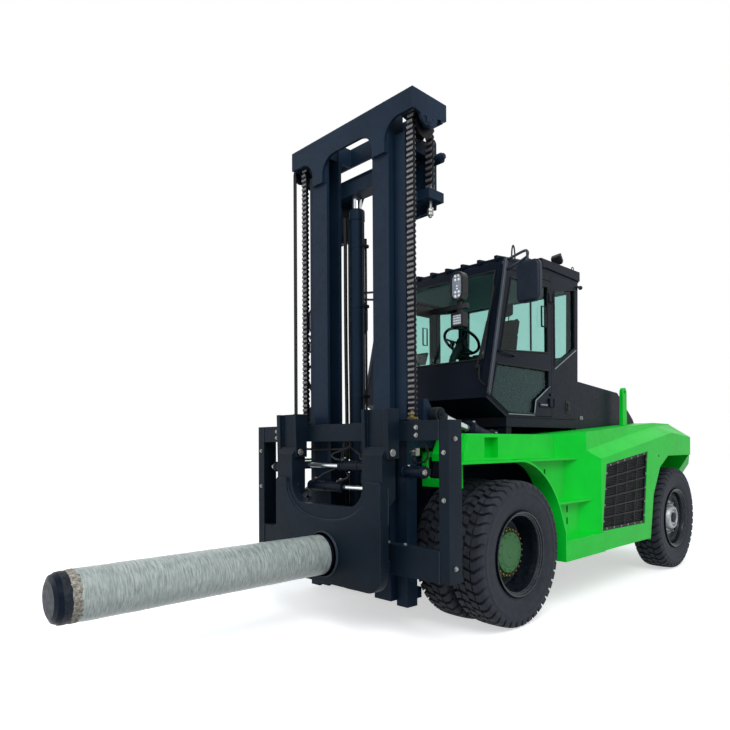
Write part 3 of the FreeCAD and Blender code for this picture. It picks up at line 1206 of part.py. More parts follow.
def ram():
    """The ram itself with its root collar and rounded black nose, in a film sleeve."""
    core = Body("RamCore", y="ram_front").turn([
        ("0", "0"), ("ram_tip - ram_front", "0"), ("ram_tip - ram_front", "ram_radius - 45"),
        ("ram_tip - ram_front + 15", "ram_radius - 14"), ("ram_tip - ram_front + 48", "ram_radius"),
        ("-collar_length", "ram_radius"), ("-collar_length", "collar_radius"),
        ("0", "collar_radius")], "0", plane="YZ")
    bind(core.body, Placement__Base__z="ram_z")
    keep(core.body, "ram_boom")
    sleeve = Body("RamWrap", y="ram_front").turn([
        ("-collar_length - 30", "ram_radius + seat_gap"), ("wrap_end - ram_front", "ram_radius + seat_gap"),
        ("wrap_end - ram_front", "wrap_radius"), ("-collar_length - 30", "wrap_radius")],
        "0", plane="YZ")
    bind(sleeve.body, Placement__Base__z="ram_z")
    keep(sleeve.body, "ram_wrap")


# ---------------------------------------------------------------- tilt cylinders
def tilt_cylinders():
    """A cylinder each side from the frame's nose to the mast, its rod eye left clear."""
    line = ("tilt_tail_y", "tilt_tail_z", "tilt_eye_y - tilt_tail_y", "tilt_eye_z - tilt_tail_z")
    y, z, rise_y, rise_z = line
    barrel = pitched_rod("tilt_x", y, z, rise_y, rise_z, 40, "tilt_barrel", 560)
    hole = pitched_rod("tilt_x", y, z, rise_y, rise_z, 100, "tilt_rod + running_fit", 520)
    tail = rod("X", ("tilt_x - 40", y, z), 60, 80)
    tail_bore = rod("X", ("tilt_x - 41", y, z), "tilt_pin + running_fit", 82)
    left = cut(fuse(barrel, tail), hole, tail_bore)
    keep(left, "tilt_barrel_left")
    keep(mirrored(left), "tilt_barrel_right")
    run = f"sqrt(({rise_y})^2 + ({rise_z})^2)"
    shaft = pitched_rod("tilt_x", y, z, rise_y, rise_z, 320, "tilt_rod", f"{run} - 370")
    eye = rod("X", ("tilt_x - 40", "tilt_eye_y", "tilt_eye_z"), 62, 80)
    eye_bore = rod("X", ("tilt_x - 41", "tilt_eye_y", "tilt_eye_z"), "tilt_pin + moving_gap", 82)
    rod_left = cut(fuse(shaft, eye), eye_bore)
    keep(rod_left, "tilt_rod_left")
    keep(mirrored(rod_left), "tilt_rod_right")


def tilt_mounts():
    """The pins in the frame's nose that the tilt barrels swing on."""
    pin = rod("X", ("tilt_x - 110", "tilt_tail_y", "tilt_tail_z"), "tilt_pin", 220)
    ears = [Body("TiltEar").pad("YZ", [
        ("tilt_tail_y - 70", deck("tilt_tail_y") + " - deck_plate"),
        ("tilt_tail_y - 60", "tilt_tail_z"),
        ("tilt_tail_y + 60", "tilt_tail_z", "tilt_tail_y", "tilt_tail_z - 60"),
        ("tilt_tail_y + 70", deck("tilt_tail_y") + " - deck_plate")], x, f"{x} + 30").body
        for x in ("tilt_x - 110", "tilt_x + 80")]
    keep(both(fuse(pin, *ears)), "tilt_mounts")


# ---------------------------------------------------------------- build, check and write
def build():
    for make in (tyres, drive_rims, steer_rim, steer_knuckle):
        make()
    for name in ("drive_tyres", "drive_rims", "steer_tyre", "steer_rim", "steer_knuckle"):
        keep(mirrored(PIECES[f"{name}_left"]), f"{name}_right")
    for make in (drive_axle, steer_axle, chassis, deck_shell, side_body, grille, counterweight,
                 battery, mudguards, cab_frame, roof, cab_glass, doors, cab_base, seat, dashboard,
                 hood, lifting_lugs, mirrors, outer_mast, mast_ties, tilt_lugs, inner_mast,
                 sheaves, chains, lift_cylinders, mast_lamps, carriage, shift_cylinders, ram_plate, ram,
                 tilt_cylinders, tilt_mounts):
        make()
    doc.recompute()


def write():
    """Refuses any object that failed, then writes one STEP file for each sub-part."""
    failed = [f"{item.Name}: {item.getStatusString()}" for item in doc.Objects
              if "Invalid" in item.State or "Error" in item.State]
    if failed:
        raise RuntimeError("failed objects: " + "; ".join(failed))
    os.makedirs("parts", exist_ok=True)
    for label, item in PIECES.items():
        if item.Shape.isNull() or not item.Shape.isValid():
            raise RuntimeError(f"{label} has no valid shape")
        item.Shape.exportStep(f"parts/{label}.step")
    print(len(PIECES), "sub-parts written")


build()
write()
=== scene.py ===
# %% [markdown]
# # Heavy electric forklift with a coil ram
# The truck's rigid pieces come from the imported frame. This lesson dresses them: it gives every
# surface the finish of the real one, and adds the tyres, chains, mesh, bolts, lamps and film
# that are easier to shape in Blender. All lengths are metres, +Z is up and -Y is forward.

# %% Load the frame
import json
import math
import bmesh
import bpy
from mathutils import Matrix, Vector, noise


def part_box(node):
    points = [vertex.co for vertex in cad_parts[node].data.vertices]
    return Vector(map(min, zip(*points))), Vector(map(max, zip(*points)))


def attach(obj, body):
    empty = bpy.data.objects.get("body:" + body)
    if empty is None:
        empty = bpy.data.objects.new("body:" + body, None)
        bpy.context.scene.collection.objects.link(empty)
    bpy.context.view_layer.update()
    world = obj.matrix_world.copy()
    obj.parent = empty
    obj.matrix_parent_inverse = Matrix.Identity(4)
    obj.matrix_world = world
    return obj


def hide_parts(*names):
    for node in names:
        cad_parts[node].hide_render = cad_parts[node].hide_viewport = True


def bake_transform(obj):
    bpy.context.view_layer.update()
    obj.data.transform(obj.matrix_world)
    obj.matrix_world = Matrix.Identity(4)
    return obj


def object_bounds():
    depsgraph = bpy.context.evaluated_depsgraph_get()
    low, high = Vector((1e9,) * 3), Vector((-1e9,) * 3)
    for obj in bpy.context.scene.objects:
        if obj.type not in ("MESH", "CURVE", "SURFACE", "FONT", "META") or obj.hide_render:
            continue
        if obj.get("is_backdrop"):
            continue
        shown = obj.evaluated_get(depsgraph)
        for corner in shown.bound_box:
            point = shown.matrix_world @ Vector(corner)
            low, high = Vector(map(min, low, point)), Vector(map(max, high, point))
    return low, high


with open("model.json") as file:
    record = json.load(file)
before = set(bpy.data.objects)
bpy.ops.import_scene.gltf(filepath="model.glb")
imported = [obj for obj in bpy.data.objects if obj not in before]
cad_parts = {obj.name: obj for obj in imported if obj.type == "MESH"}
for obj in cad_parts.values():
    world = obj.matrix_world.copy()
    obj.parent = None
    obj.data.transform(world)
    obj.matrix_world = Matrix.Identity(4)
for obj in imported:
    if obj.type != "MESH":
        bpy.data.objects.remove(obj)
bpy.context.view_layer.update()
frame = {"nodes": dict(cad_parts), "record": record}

nodes, record = frame["nodes"], frame["record"]
scene = bpy.context.scene
SIDES = {"left": 1, "right": -1}
OUT, AFT, FORE, UP = (1, 0, 0), (0, 1, 0), (0, -1, 0), (0, 0, 1)
tyre_low, tyre_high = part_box("drive_tyres_left")
AXLE_Y = (tyre_low.y + tyre_high.y) / 2
print("nodes", len(nodes), "axle at", round(AXLE_Y, 3))

# %% [markdown]
# ## Helpers for materials
# Paint charts give colours as sRGB hex, but shaders work in linear light, so one function turns
# one into the other. One adds a node with its settings and links, and others build on it: a
# pattern whose size is given in metres, a range of values and a mix of colours. Every new
# material also notes the slot of the record that it stands for.

# %% Colour and node helpers
MILLIMETRE = 0.001
SLOT_OF_FINISH = {}


def linear(hex_code):
    """An sRGB hex colour as linear RGBA."""
    channels = [int(hex_code[i:i + 2], 16) / 255 for i in (1, 3, 5)]
    return [c / 12.92 if c <= 0.04045 else ((c + 0.055) / 1.055) ** 2.4 for c in channels] + [1.0]


def fill(tree, node, inputs):
    """Links each input to a socket or a node's first output, or sets it. Hex becomes a colour."""
    for key, value in dict(inputs).items():
        if isinstance(value, bpy.types.Node):
            value = next(output for output in value.outputs if output.enabled)
        if isinstance(value, bpy.types.NodeSocket):
            tree.links.new(value, node.inputs[key])
        else:
            node.inputs[key].default_value = linear(value) if isinstance(value, str) else value
    return node


def add(tree, kind, inputs=(), **settings):
    """Adds a node, sets it up and fills its inputs."""
    made = tree.nodes.new(kind)
    for name, value in settings.items():
        setattr(made, name, value)
    return fill(tree, made, inputs)


def new_material(name, slot):
    """An empty node material: its tree, and the shader that feeds its output."""
    material = bpy.data.materials.new(name)
    material.use_nodes = True
    SLOT_OF_FINISH[name] = slot
    tree = material.node_tree
    tree.nodes.clear()
    shader = add(tree, "ShaderNodeBsdfPrincipled")
    add(tree, "ShaderNodeOutputMaterial", {"Surface": shader.outputs["BSDF"]})
    return material, tree, shader


# %% Patterns and mixes
def noise_texture(tree, size, detail=4.0, roughness=0.55, stretch=None):
    """A cloudy pattern whose blobs are about one size across, in metres."""
    place = add(tree, "ShaderNodeTexCoord").outputs["Object"]
    if stretch:
        place = add(tree, "ShaderNodeMapping",
                    {"Vector": place, "Scale": stretch}).outputs["Vector"]
    return add(tree, "ShaderNodeTexNoise", {
        "Vector": place, "Scale": 1 / size, "Detail": detail,
        "Roughness": roughness}).outputs["Fac"]


def ramp(tree, factor, low, high, from_value=0.0, to_value=1.0):
    """Turns one stretch of a factor into a range of values."""
    return add(tree, "ShaderNodeMapRange", {
        "Value": factor, "From Min": low, "From Max": high,
        "To Min": from_value, "To Max": to_value}).outputs["Result"]


def blend_colours(tree, factor, first, second):
    """Mixes two colours, each a hex code or a socket."""
    return add(tree, "ShaderNodeMix", {0: factor, 6: first, 7: second}, data_type="RGBA").outputs[2]


# %% [markdown]
# ## Painted steel
# Most of the truck is welded steel plate, sprayed with enamel. Up close the film has a faint
# orange peel, its upward faces are paler with dust and with painted top light, and its edges are
# rounded by the torch and the thick paint. The Bevel node rounds the shading of a plate's edges
# without changing its mesh, and where that rounded normal leaves the flat one we know that we
# are on an edge, so it also tells us where paint wears or catches dust, and where painted
# highlights go.

# %% Paint
EDGE_ROUND = 5 * MILLIMETRE
PATCH_SIZE, GRIME_SIZE = 0.45, 0.035
PEEL_SIZE = 9 * MILLIMETRE      # real orange peel is 2 mm, too fine to show at this distance


def painted_steel(name, slot, body, dust_and_top_light, shade, roughness, dust_and_top_light_share, edge_wear_and_highlight_share, coat=0.0,
                  edge=None, shine=0.3):
    """Enamel on plate: patchy colour, dust and painted light on top faces, worn edges with painted
    highlights.
    """
    material, tree, shader = new_material(name, slot)
    patches = noise_texture(tree, PATCH_SIZE)
    grime = noise_texture(tree, GRIME_SIZE, detail=6.0)
    colour = blend_colours(tree, ramp(tree, patches, 0.38, 0.68), body, shade)
    facing = add(tree, "ShaderNodeNewGeometry").outputs["Normal"]
    height = add(tree, "ShaderNodeSeparateXYZ", {"Vector": facing}).outputs["Z"]
    # Painted light: upward faces are mixed toward the dust colour, which is partly dust and partly
    # the light on top faces.
    dust_and_top_light_mask = add(tree, "ShaderNodeMath", {
        0: ramp(tree, height, 0.3, 1.0), 1: ramp(tree, grime, 0.42, 0.72)}, operation="MULTIPLY")
    film = add(tree, "ShaderNodeMath", {0: dust_and_top_light_mask, 1: dust_and_top_light_share}, operation="MULTIPLY")
    colour = blend_colours(tree, film, colour, dust_and_top_light)
    soft = add(tree, "ShaderNodeBevel", {"Radius": EDGE_ROUND}, samples=4)
    turn = add(tree, "ShaderNodeVectorMath", {0: soft, 1: facing}, operation="DOT_PRODUCT")
    # Painted highlight: edges are mixed toward the edge colour, partly wear and partly light
    # catching them.
    edge_wear_and_highlight_mask = ramp(tree, turn.outputs["Value"], 0.995, 0.9, 0.0, edge_wear_and_highlight_share)
    wear_and_painted_light = add(tree, "ShaderNodeMath", {0: edge_wear_and_highlight_mask, 1: grime}, operation="MULTIPLY")
    colour = blend_colours(tree, wear_and_painted_light, colour, edge or dust_and_top_light)
    peel = noise_texture(tree, PEEL_SIZE, detail=2.0)
    bumps = add(tree, "ShaderNodeBump", {
        "Height": peel, "Strength": 0.06, "Distance": 0.002, "Normal": soft})
    fill(tree, shader, {
        "Base Color": colour,
        "Roughness": ramp(tree, grime, 0.3, 0.7, roughness - 0.06, roughness + 0.1),
        "Normal": bumps,
        "Coat Weight": coat, "Coat Roughness": 0.12, "Specular IOR Level": shine})
    return material


# %% Enamels
# Sprayed enamel is an even colour with a soft sheen, paler on top faces with dust and painted
# light, and along its edges with wear and painted highlights.
# Cast iron keeps the grain of its sand mould under black paint, so it looks dull and dusty.
# Rim lacquer is thick and glossy, with worn steps that carry painted highlights. Satin tube is
# smooth and even.
# The green's dust and edge colours are lit greens: painted highlights on its tops and edges.
green_enamel = painted_steel(
    "bright green sprayed enamel", "green_paint", "#00dc36", "#54dc7c", "#00cc30", 0.38, 0.15, 0.45,
    coat=0.03, edge="#4fec72", shine=0.13)
mast_enamel = painted_steel(
    "blue-black mast enamel", "mast_paint", "#182a3d", "#3f4e5e", "#122131", 0.46, 0.25, 0.7,
    edge="#3c4c5c", shine=0.1)
# The carriage and ram plate take a darker copy of the mast enamel: painted shade.
shaded_carriage_enamel = painted_steel(
    "shaded blue-black mast enamel", "mast_paint", "#121e2a", "#3a4753", "#0d1721", 0.46, 0.3, 0.8,
    edge="#42505c", shine=0.1)
cab_enamel = painted_steel(
    "black cab enamel", "black_paint", "#0a1524", "#27323f", "#07101c", 0.36, 0.2, 0.6,
    edge="#2d3844", shine=0.09)
cast_iron = painted_steel(
    "black painted cast iron", "black_paint", "#171c22", "#4a4843", "#12161b", 0.62, 0.5, 0.4,
    edge="#44433f", shine=0.2)
mesh_steel = painted_steel(
    "black powder-coated mesh", "mesh_steel", "#101418", "#34363a", "#0c0f12", 0.5, 0.3, 0.3,
    shine=0.2)
# Its pale edge colour is worn lacquer and painted highlight on the rim's steps.
rim_lacquer = painted_steel(
    "black rim lacquer", "rim_paint", "#0c131c", "#353c44", "#090f16", 0.3, 0.25, 0.9, coat=0.2,
    edge="#7c858d", shine=0.2)
hub_enamel = painted_steel(
    "green hub enamel", "rim_paint", "#3a6f3c", "#61865a", "#226438", 0.45, 0.3, 0.5,
    edge="#6d966b")
weld_bead = painted_steel(
    "painted weld bead", "mast_paint", "#1a2733", "#43515d", "#142029", 0.5, 0.3, 0.5,
    edge="#4a5864", shine=0.25)
satin_tube = painted_steel(
    "satin grey grab tube", "black_paint", "#37414d", "#5a6570", "#2f3843", 0.35, 0.2, 0.4,
    shine=0.3)

# %% [markdown]
# ## Bare metals
# Piston rods are ground and hard-chromed, so they are the sharpest mirrors on the truck. Chain
# links are stamped from oiled plate: a grey that lost its shine. Painted shade darkens the hollow
# along the waists, which a value stored on the chain's own points tells apart.

# %% Metals
def metal(name, slot, colour, roughness, grain, dirt, dirt_share, painted_recess_shade=None):
    """Bare metal with a grain of roughness and dirt in patches, and painted shade in its recesses.
    """
    material, tree, shader = new_material(name, slot)
    cloud = noise_texture(tree, grain, detail=5.0)
    surface = blend_colours(tree, ramp(tree, cloud, 0.45, 0.75, 0.0, dirt_share), colour, dirt)
    # Painted shade: points deep between the plates are mixed toward the dark recess colour.
    if painted_recess_shade:
        wear_and_painted_light = add(tree, "ShaderNodeAttribute", attribute_name="wear_and_painted_light").outputs["Fac"]
        surface = blend_colours(tree, ramp(tree, wear_and_painted_light, 0.55, 0.95), painted_recess_shade, surface)
    soft = add(tree, "ShaderNodeBevel", {"Radius": 2 * MILLIMETRE}, samples=4)
    bumps = add(tree, "ShaderNodeBump", {
        "Height": cloud, "Strength": 0.15, "Distance": 0.001, "Normal": soft})
    fill(tree, shader, {
        "Base Color": surface, "Metallic": 0.85,
        "Roughness": ramp(tree, cloud, 0.3, 0.7, roughness * 0.8, roughness * 1.3),
        "Normal": bumps})
    return material


# Chrome gives sharp streaks of sky, chain steel a dull oily grey, zinc a soft pale grey, and
# yellow passivation an ochre cast. The hub's silver paint is matt, with dirt in patches.
hard_chrome = metal("hard chromed piston rod", "chrome_rod", "#c9ccd0", 0.12, 0.05, "#8d8a84", 0.15)
# Chain steel's recess colour #1b1c20 is painted shade between its plates.
chain_steel = metal("oiled chain steel", "chain_steel", "#8a898c", 0.42, 0.008, "#4a4741", 0.4,
                    painted_recess_shade="#1b1c20")
zinc_bolt = metal("zinc plated bolt", "chain_steel", "#92938f", 0.42, 0.015, "#4f4d49", 0.45)
brass_stud = metal("yellow passivated stud", "chain_steel", "#857a4c", 0.45, 0.012, "#4f4936", 0.6)
hub_silver = metal("silver painted hub", "rim_paint", "#a9adb0", 0.45, 0.03, "#55534f", 0.35)

# %% [markdown]
# ## Rubber, plastics, glass and film
# Tyre rubber is carbon black under a grey bloom and road dust. The cab's trim is grained plastic.
# The panes are tempered glass with a pale blue-green cast. The ram is wound in stretch film: many
# thin clear layers that turn milky, with streaks along the winding.

# %% Rubber and plastics
def moulded(name, slot, colour, bloom, roughness, grain, bloom_share, relief=0.2):
    """A moulded rubber or plastic with a bloom or dust in soft patches."""
    material, tree, shader = new_material(name, slot)
    cloud = noise_texture(tree, 0.08, detail=6.0)
    dusty = ramp(tree, cloud, 0.35, 0.75, 0.0, bloom_share)
    pits = noise_texture(tree, grain, detail=3.0)
    soft = add(tree, "ShaderNodeBevel", {"Radius": 4 * MILLIMETRE}, samples=4)
    bumps = add(tree, "ShaderNodeBump", {
        "Height": pits, "Strength": relief, "Distance": 0.001, "Normal": soft})
    fill(tree, shader, {
        "Base Color": blend_colours(tree, dusty, colour, bloom), "Specular IOR Level": 0.25,
        "Roughness": ramp(tree, cloud, 0.3, 0.7, roughness - 0.05, roughness + 0.08),
        "Normal": bumps})
    return material


# Rubber is matt with a grey bloom, and hoses and seals are finer than tyres. Grained ABS has a
# soft sheen, lenses and the lamps' housings are smooth and glossy, cloth and headliner matt.
tyre_rubber = moulded(
    "carbon black tyre rubber", "tyre_rubber", "#20232a", "#454a54", 0.7, 0.006, 0.5)
hose_rubber = moulded("ribbed hydraulic hose", "black_paint", "#14171b", "#33383e", 0.5, 0.004, 0.3)
seal_rubber = moulded("black window seal", "black_paint", "#0d1114", "#23282c", 0.6, 0.005, 0.3)
grained_plastic = moulded(
    "grained ABS trim", "black_paint", "#16191c", "#3a3d40", 0.55, 0.004, 0.25)
# The pale grey strip along the low seals is a painted highlight on the rubber.
seal_highlight_strip = moulded("grey strip for seal highlight", "black_paint", "#848e92", "#a9b1b3", 0.5, 0.01, 0.5)
mirror_shell = moulded(
    "blue-black mirror shell", "black_paint", "#1a2432", "#2f3a48", 0.4, 0.004, 0.3)
# A dark sheet inside each lower door window: painted shade for the dim cab behind the glass.
painted_shade = moulded("smoked lower door sheet", "glass", "#10222a", "#16303a", 0.25, 0.05, 0.5, 0.03)
headliner = moulded("pale grey headliner", "dash_plastic", "#939ea1", "#aab4b6", 0.7, 0.01, 0.6)
battery_case = moulded("moulded battery case", "battery_case", "#1f2124", "#4a4844", 0.6, 0.01, 0.4)
seat_cloth = moulded("woven seat cloth", "seat_cloth", "#15171a", "#2b2e33", 0.85, 0.003, 0.4, 0.5)
lamp_housing = moulded("gloss black lamp housing", "lamp_plastic", "#0e1013", "#3a3c40", 0.3, 0.02,
                       0.2, 0.05)
white_lens = moulded("white lamp lens", "lamp_plastic", "#9aa2ae", "#7d8594", 0.2, 0.01, 0.6, 0.05)
red_lens = moulded("red lamp lens", "lamp_plastic", "#9c1411", "#b23a33", 0.2, 0.02, 0.3, 0.05)
amber_lens = moulded("amber lamp lens", "lamp_plastic", "#c76a0c", "#cf8a3a", 0.2, 0.02, 0.3, 0.05)
led, tree, shader = new_material("white LED dome", "lamp_plastic")
fill(tree, shader, {"Base Color": "#f2f5f7", "Coat Weight": 0.6,
                    "Roughness": ramp(tree, noise_texture(tree, 0.01), 0.3, 0.7, 0.1, 0.3)})

# %% Glass
def pane_glass():
    """Pale blue-green tempered glass: mostly clear, with a strong reflection at its surface."""
    material, tree, shader = new_material("pale tempered glass", "glass")
    tree.nodes.remove(shader)
    clear = add(tree, "ShaderNodeBsdfTransparent", {"Color": "#dcefec"})
    gloss = add(tree, "ShaderNodeBsdfGlossy", {"Color": "#e6f6f4", "Roughness": 0.02})
    rim = add(tree, "ShaderNodeLayerWeight", {"Blend": 0.35}).outputs["Fresnel"]
    outer = add(tree, "ShaderNodeNewGeometry").outputs["Backfacing"]
    front = add(tree, "ShaderNodeMath", {0: 1.0, 1: outer}, operation="SUBTRACT")
    share = add(tree, "ShaderNodeMath", {0: ramp(tree, rim, 0.0, 1.0, 0.0, 0.4), 1: front},
                operation="MULTIPLY")
    both = add(tree, "ShaderNodeMixShader", {0: share, 1: clear.outputs[0], 2: gloss.outputs[0]})
    output = next(n for n in tree.nodes if n.type == "OUTPUT_MATERIAL")
    fill(tree, output, {"Surface": both.outputs[0]})
    return material


tempered_glass = pane_glass()

# %% Film and wrapping
def stretch_film():
    """Milky layers of stretch film with streaks wound round the ram and a few darker wrinkles."""
    material, tree, shader = new_material("milky stretch film", "film_wrap")
    streaks = noise_texture(tree, 0.05, detail=8.0, roughness=0.65, stretch=(0.7, 5.0, 0.7))
    bands = noise_texture(tree, 0.22, detail=3.0, stretch=(1.0, 1.6, 1.0))
    colour = blend_colours(tree, ramp(tree, streaks, 0.35, 0.65), "#7d8884", "#c2ccc6")
    colour = blend_colours(tree, ramp(tree, bands, 0.45, 0.7, 0.0, 0.5), colour, "#98a39f")
    bumps = add(tree, "ShaderNodeBump", {
        "Height": streaks, "Strength": 0.5, "Distance": 0.004})
    fill(tree, shader, {
        "Base Color": colour, "Roughness": ramp(tree, streaks, 0.3, 0.7, 0.28, 0.5),
        "Coat Weight": 0.4, "Coat Roughness": 0.2, "Normal": bumps})
    return material


def creased(name, slot, dark, light, roughness, size):
    """A thin crumpled sheet, with painted highlights along its creases."""
    material, tree, shader = new_material(name, slot)
    fold = noise_texture(tree, size, detail=8.0, roughness=0.7)
    bumps = add(tree, "ShaderNodeBump", {
        "Height": fold, "Strength": 0.7, "Distance": 0.006})
    fill(tree, shader, {
        "Base Color": blend_colours(tree, ramp(tree, fold, 0.4, 0.66), dark, light),
        "Roughness": ramp(tree, fold, 0.3, 0.7, roughness - 0.1, roughness + 0.1),
        "Normal": bumps, "Specular IOR Level": 0.15})
    return material


# The film shines in milky streaks, the paper is dry and pale, the cover dark with lit folds.
film_wrap = stretch_film()
beige_wrap = creased("beige wrapping paper", "film_wrap", "#6f6a60", "#cfc8ba", 0.8, 0.018)
black_cover = creased("black nose cover", "ram_steel", "#10161e", "#2b333d", 0.45, 0.04)

# %% [markdown]
# ## Give every carried-over node its finish
# The record names a material slot for each node. One table maps the slots to the finishes, so a
# node whose shape is right keeps its mesh and only changes its material.

# %% Assign finishes
FINISH = {
    "green_paint": green_enamel, "counterweight_iron": green_enamel, "black_paint": cab_enamel,
    "mast_paint": mast_enamel, "tyre_rubber": tyre_rubber, "rim_paint": cab_enamel,
    "axle_steel": cast_iron, "glass": tempered_glass, "mesh_steel": mesh_steel,
    "battery_case": battery_case, "chain_steel": chain_steel, "chrome_rod": hard_chrome,
    "seat_cloth": seat_cloth, "dash_plastic": grained_plastic, "lamp_plastic": lamp_housing,
    "film_wrap": film_wrap, "ram_steel": cab_enamel,
}
SHADED_NODES = ("carriage", "ram_plate")      # the mast's enamel made darker: painted shade
slot_of = {part["node"]: part["material_slot"] for part in record["subparts"]}
for name, node in nodes.items():
    for holder in node.material_slots:
        holder.material = shaded_carriage_enamel if name in SHADED_NODES else FINISH[slot_of[name]]
print("finished nodes", len(nodes))

# %% [markdown]
# ## Camera
# The camera stands at a grown person's eye height off the front left corner, with a wide lens
# that is kept level and shifted up, as architects do to keep uprights straight.

# %% Camera
EYE = Vector((3.9675, -4.4466 + AXLE_Y, 1.5357))
YAW, PITCH, ROLL = (math.radians(a) for a in (46.228, 0.616, -0.315))
SENSOR = 36
FOCAL_SHARE = 608.6 / 730      # focal length as a share of the frame's width
camera = bpy.data.cameras.new("eye level camera")
camera.sensor_width, camera.lens, camera.shift_y = SENSOR, SENSOR * FOCAL_SHARE, 0.0992
camera.clip_start, camera.clip_end = 0.1, 200
view = Vector((-math.sin(YAW) * math.cos(PITCH), math.cos(YAW) * math.cos(PITCH), math.sin(PITCH)))
right = Vector((math.cos(YAW), math.sin(YAW), 0))
above = right.cross(view)
right, above = (right * math.cos(ROLL) + above * math.sin(ROLL),
                above * math.cos(ROLL) - right * math.sin(ROLL))
viewer = bpy.data.objects.new("eye level camera", camera)
viewer.matrix_world = Matrix.Translation(EYE) @ Matrix((right, above, -view)).transposed().to_4x4()
scene.collection.objects.link(viewer)
scene.camera = viewer
scene.view_settings.view_transform = "Standard"

# %% [markdown]
# ## Floor and light
# An overcast yard is the softest studio there is: an even bright dome, one broad source high on
# the camera's left, and a pale floor that throws light back up under the truck.

# %% Floor, world and lamps
FLOOR_REACH = 60
SKY_STRENGTH, BACKDROP_GLOW = 0.62, 0.55


def seen_directly(tree):
    """1 for the camera and what mirrors or panes show it, 0 for light on its way elsewhere."""
    ray = add(tree, "ShaderNodeLightPath").outputs
    first = add(tree, "ShaderNodeMath", {
        0: ray["Is Camera Ray"], 1: ray["Is Glossy Ray"]}, operation="MAXIMUM")
    return add(tree, "ShaderNodeMath", {
        0: first, 1: ray["Is Transmission Ray"]}, operation="MAXIMUM")


floor_material, tree, shader = new_material("pale studio floor", None)
shown = seen_directly(tree)
fill(tree, shader, {
    "Base Color": blend_colours(tree, shown, "#a9aaaa", "#f3f3f2"), "Emission Color": "#ffffff",
    "Emission Strength": ramp(tree, shown, 0.0, 1.0, 0.0, BACKDROP_GLOW),
    "Roughness": 1.0, "Specular IOR Level": 0.0})
floor_mesh = bpy.data.meshes.new("floor")
floor_mesh.from_pydata([(x * FLOOR_REACH, y * FLOOR_REACH, 0)
                        for x, y in ((-1, -1), (1, -1), (1, 1), (-1, 1))], [], [(0, 1, 2, 3)])
floor_mesh.materials.append(floor_material)
floor = bpy.data.objects.new("floor", floor_mesh)
scene.collection.objects.link(floor)
floor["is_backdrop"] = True

world = bpy.data.worlds.new("overcast dome")
scene.world = world
world.use_nodes = True
sky = world.node_tree
sky.nodes.clear()
dome = add(sky, "ShaderNodeBackground", {"Color": "#e9f1fa", "Strength": SKY_STRENGTH})
blank = add(sky, "ShaderNodeBackground", {"Color": "#ffffff", "Strength": 1.0})
both = add(sky, "ShaderNodeMixShader", {
    0: seen_directly(sky), 1: dome.outputs[0], 2: blank.outputs[0]})
add(sky, "ShaderNodeOutputWorld", {"Surface": both.outputs[0]})


def soft_lamp(name, place, target, size, power):
    """A broad square lamp aimed at a point."""
    data = bpy.data.lights.new(name, "AREA")
    data.size, data.energy = size, power
    lamp = bpy.data.objects.new(name, data)
    lamp.location = place
    lamp.rotation_euler = (Vector(target) - Vector(place)).to_track_quat("-Z", "Y").to_euler()
    scene.collection.objects.link(lamp)


soft_lamp("broad sky light", (7, -5, 9), (0, 0, 1.5), 6, 620)
soft_lamp("front fill", (-6, -9, 5), (0, -1, 1.5), 6, 160)

# %% [markdown]
# ## Tools for building pieces
# Every piece is made as one mesh in the frame's own metres, so it needs no moving: it only has to
# ride on the body that carries it. A shape is a pair of lists, its points and its faces. Sleeves
# of rings make tubes and caps, flat outlines with a thickness make plates and bars, and boxes get
# bevelled edges so that light catches them.

# %% Mesh tools
MERGE = 1e-5


def gather(parts):
    """Joins shapes into one."""
    points, faces = [], []
    for more_points, more_faces in parts:
        start = len(points)
        points += [tuple(p) for p in more_points]
        faces += [tuple(start + i for i in face) for face in more_faces]
    return points, faces


def to_mesh(shape, name="shape"):
    """A mesh from a shape, its normals made to face outward."""
    mesh = bpy.data.meshes.new(name)
    mesh.from_pydata(shape[0], [], shape[1])
    work = bmesh.new()
    work.from_mesh(mesh)
    bmesh.ops.remove_doubles(work, verts=work.verts, dist=MERGE)
    bmesh.ops.recalc_face_normals(work, faces=work.faces)
    work.to_mesh(mesh)
    work.free()
    return mesh


def to_shape(mesh):
    """The shape of a mesh, which is then removed."""
    shape = [v.co.copy() for v in mesh.vertices], [tuple(f.vertices) for f in mesh.polygons]
    bpy.data.meshes.remove(mesh)
    return shape


def edited(shape, change):
    """A shape after a change to its bmesh."""
    mesh = to_mesh(shape)
    work = bmesh.new()
    work.from_mesh(mesh)
    change(work)
    work.to_mesh(mesh)
    work.free()
    return to_shape(mesh)


def place(name, mesh, finish, body, stands_for=(), smooth=None, across=None, slot=None):
    """Puts a finished mesh on a body, or leaves it where it is made when across is given."""
    slot = slot or SLOT_OF_FINISH[finish.name]
    mesh.name = name
    mesh.materials.clear()
    mesh.materials.append(finish)
    if smooth is not None:
        mesh.shade_smooth()
        mesh.set_sharp_from_angle(angle=math.radians(smooth))
    piece = bpy.data.objects.new(name, mesh)
    scene.collection.objects.link(piece)
    if across:
        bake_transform(piece)
    else:
        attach(piece, body)
    if stands_for:
        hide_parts(*stands_for)
    return piece


# %% Turned and swept shapes
def circle(count):
    """The cosine and sine of evenly spaced angles."""
    return [(math.cos(a), math.sin(a)) for a in (2 * math.pi * k / count for k in range(count))]


def lathe(profile, centre, steps=96):
    """A profile of (across, radius) points turned about a line along X through centre."""
    points = [(centre[0] + across, centre[1] + radius * c, centre[2] + radius * s)
              for c, s in circle(steps) for across, radius in profile]
    count = len(profile)
    faces = []
    for i in range(steps):
        near, far = i * count, (i + 1) % steps * count
        faces += [(near + k, near + k + 1, far + k + 1, far + k) for k in range(count - 1)]
    return points, faces


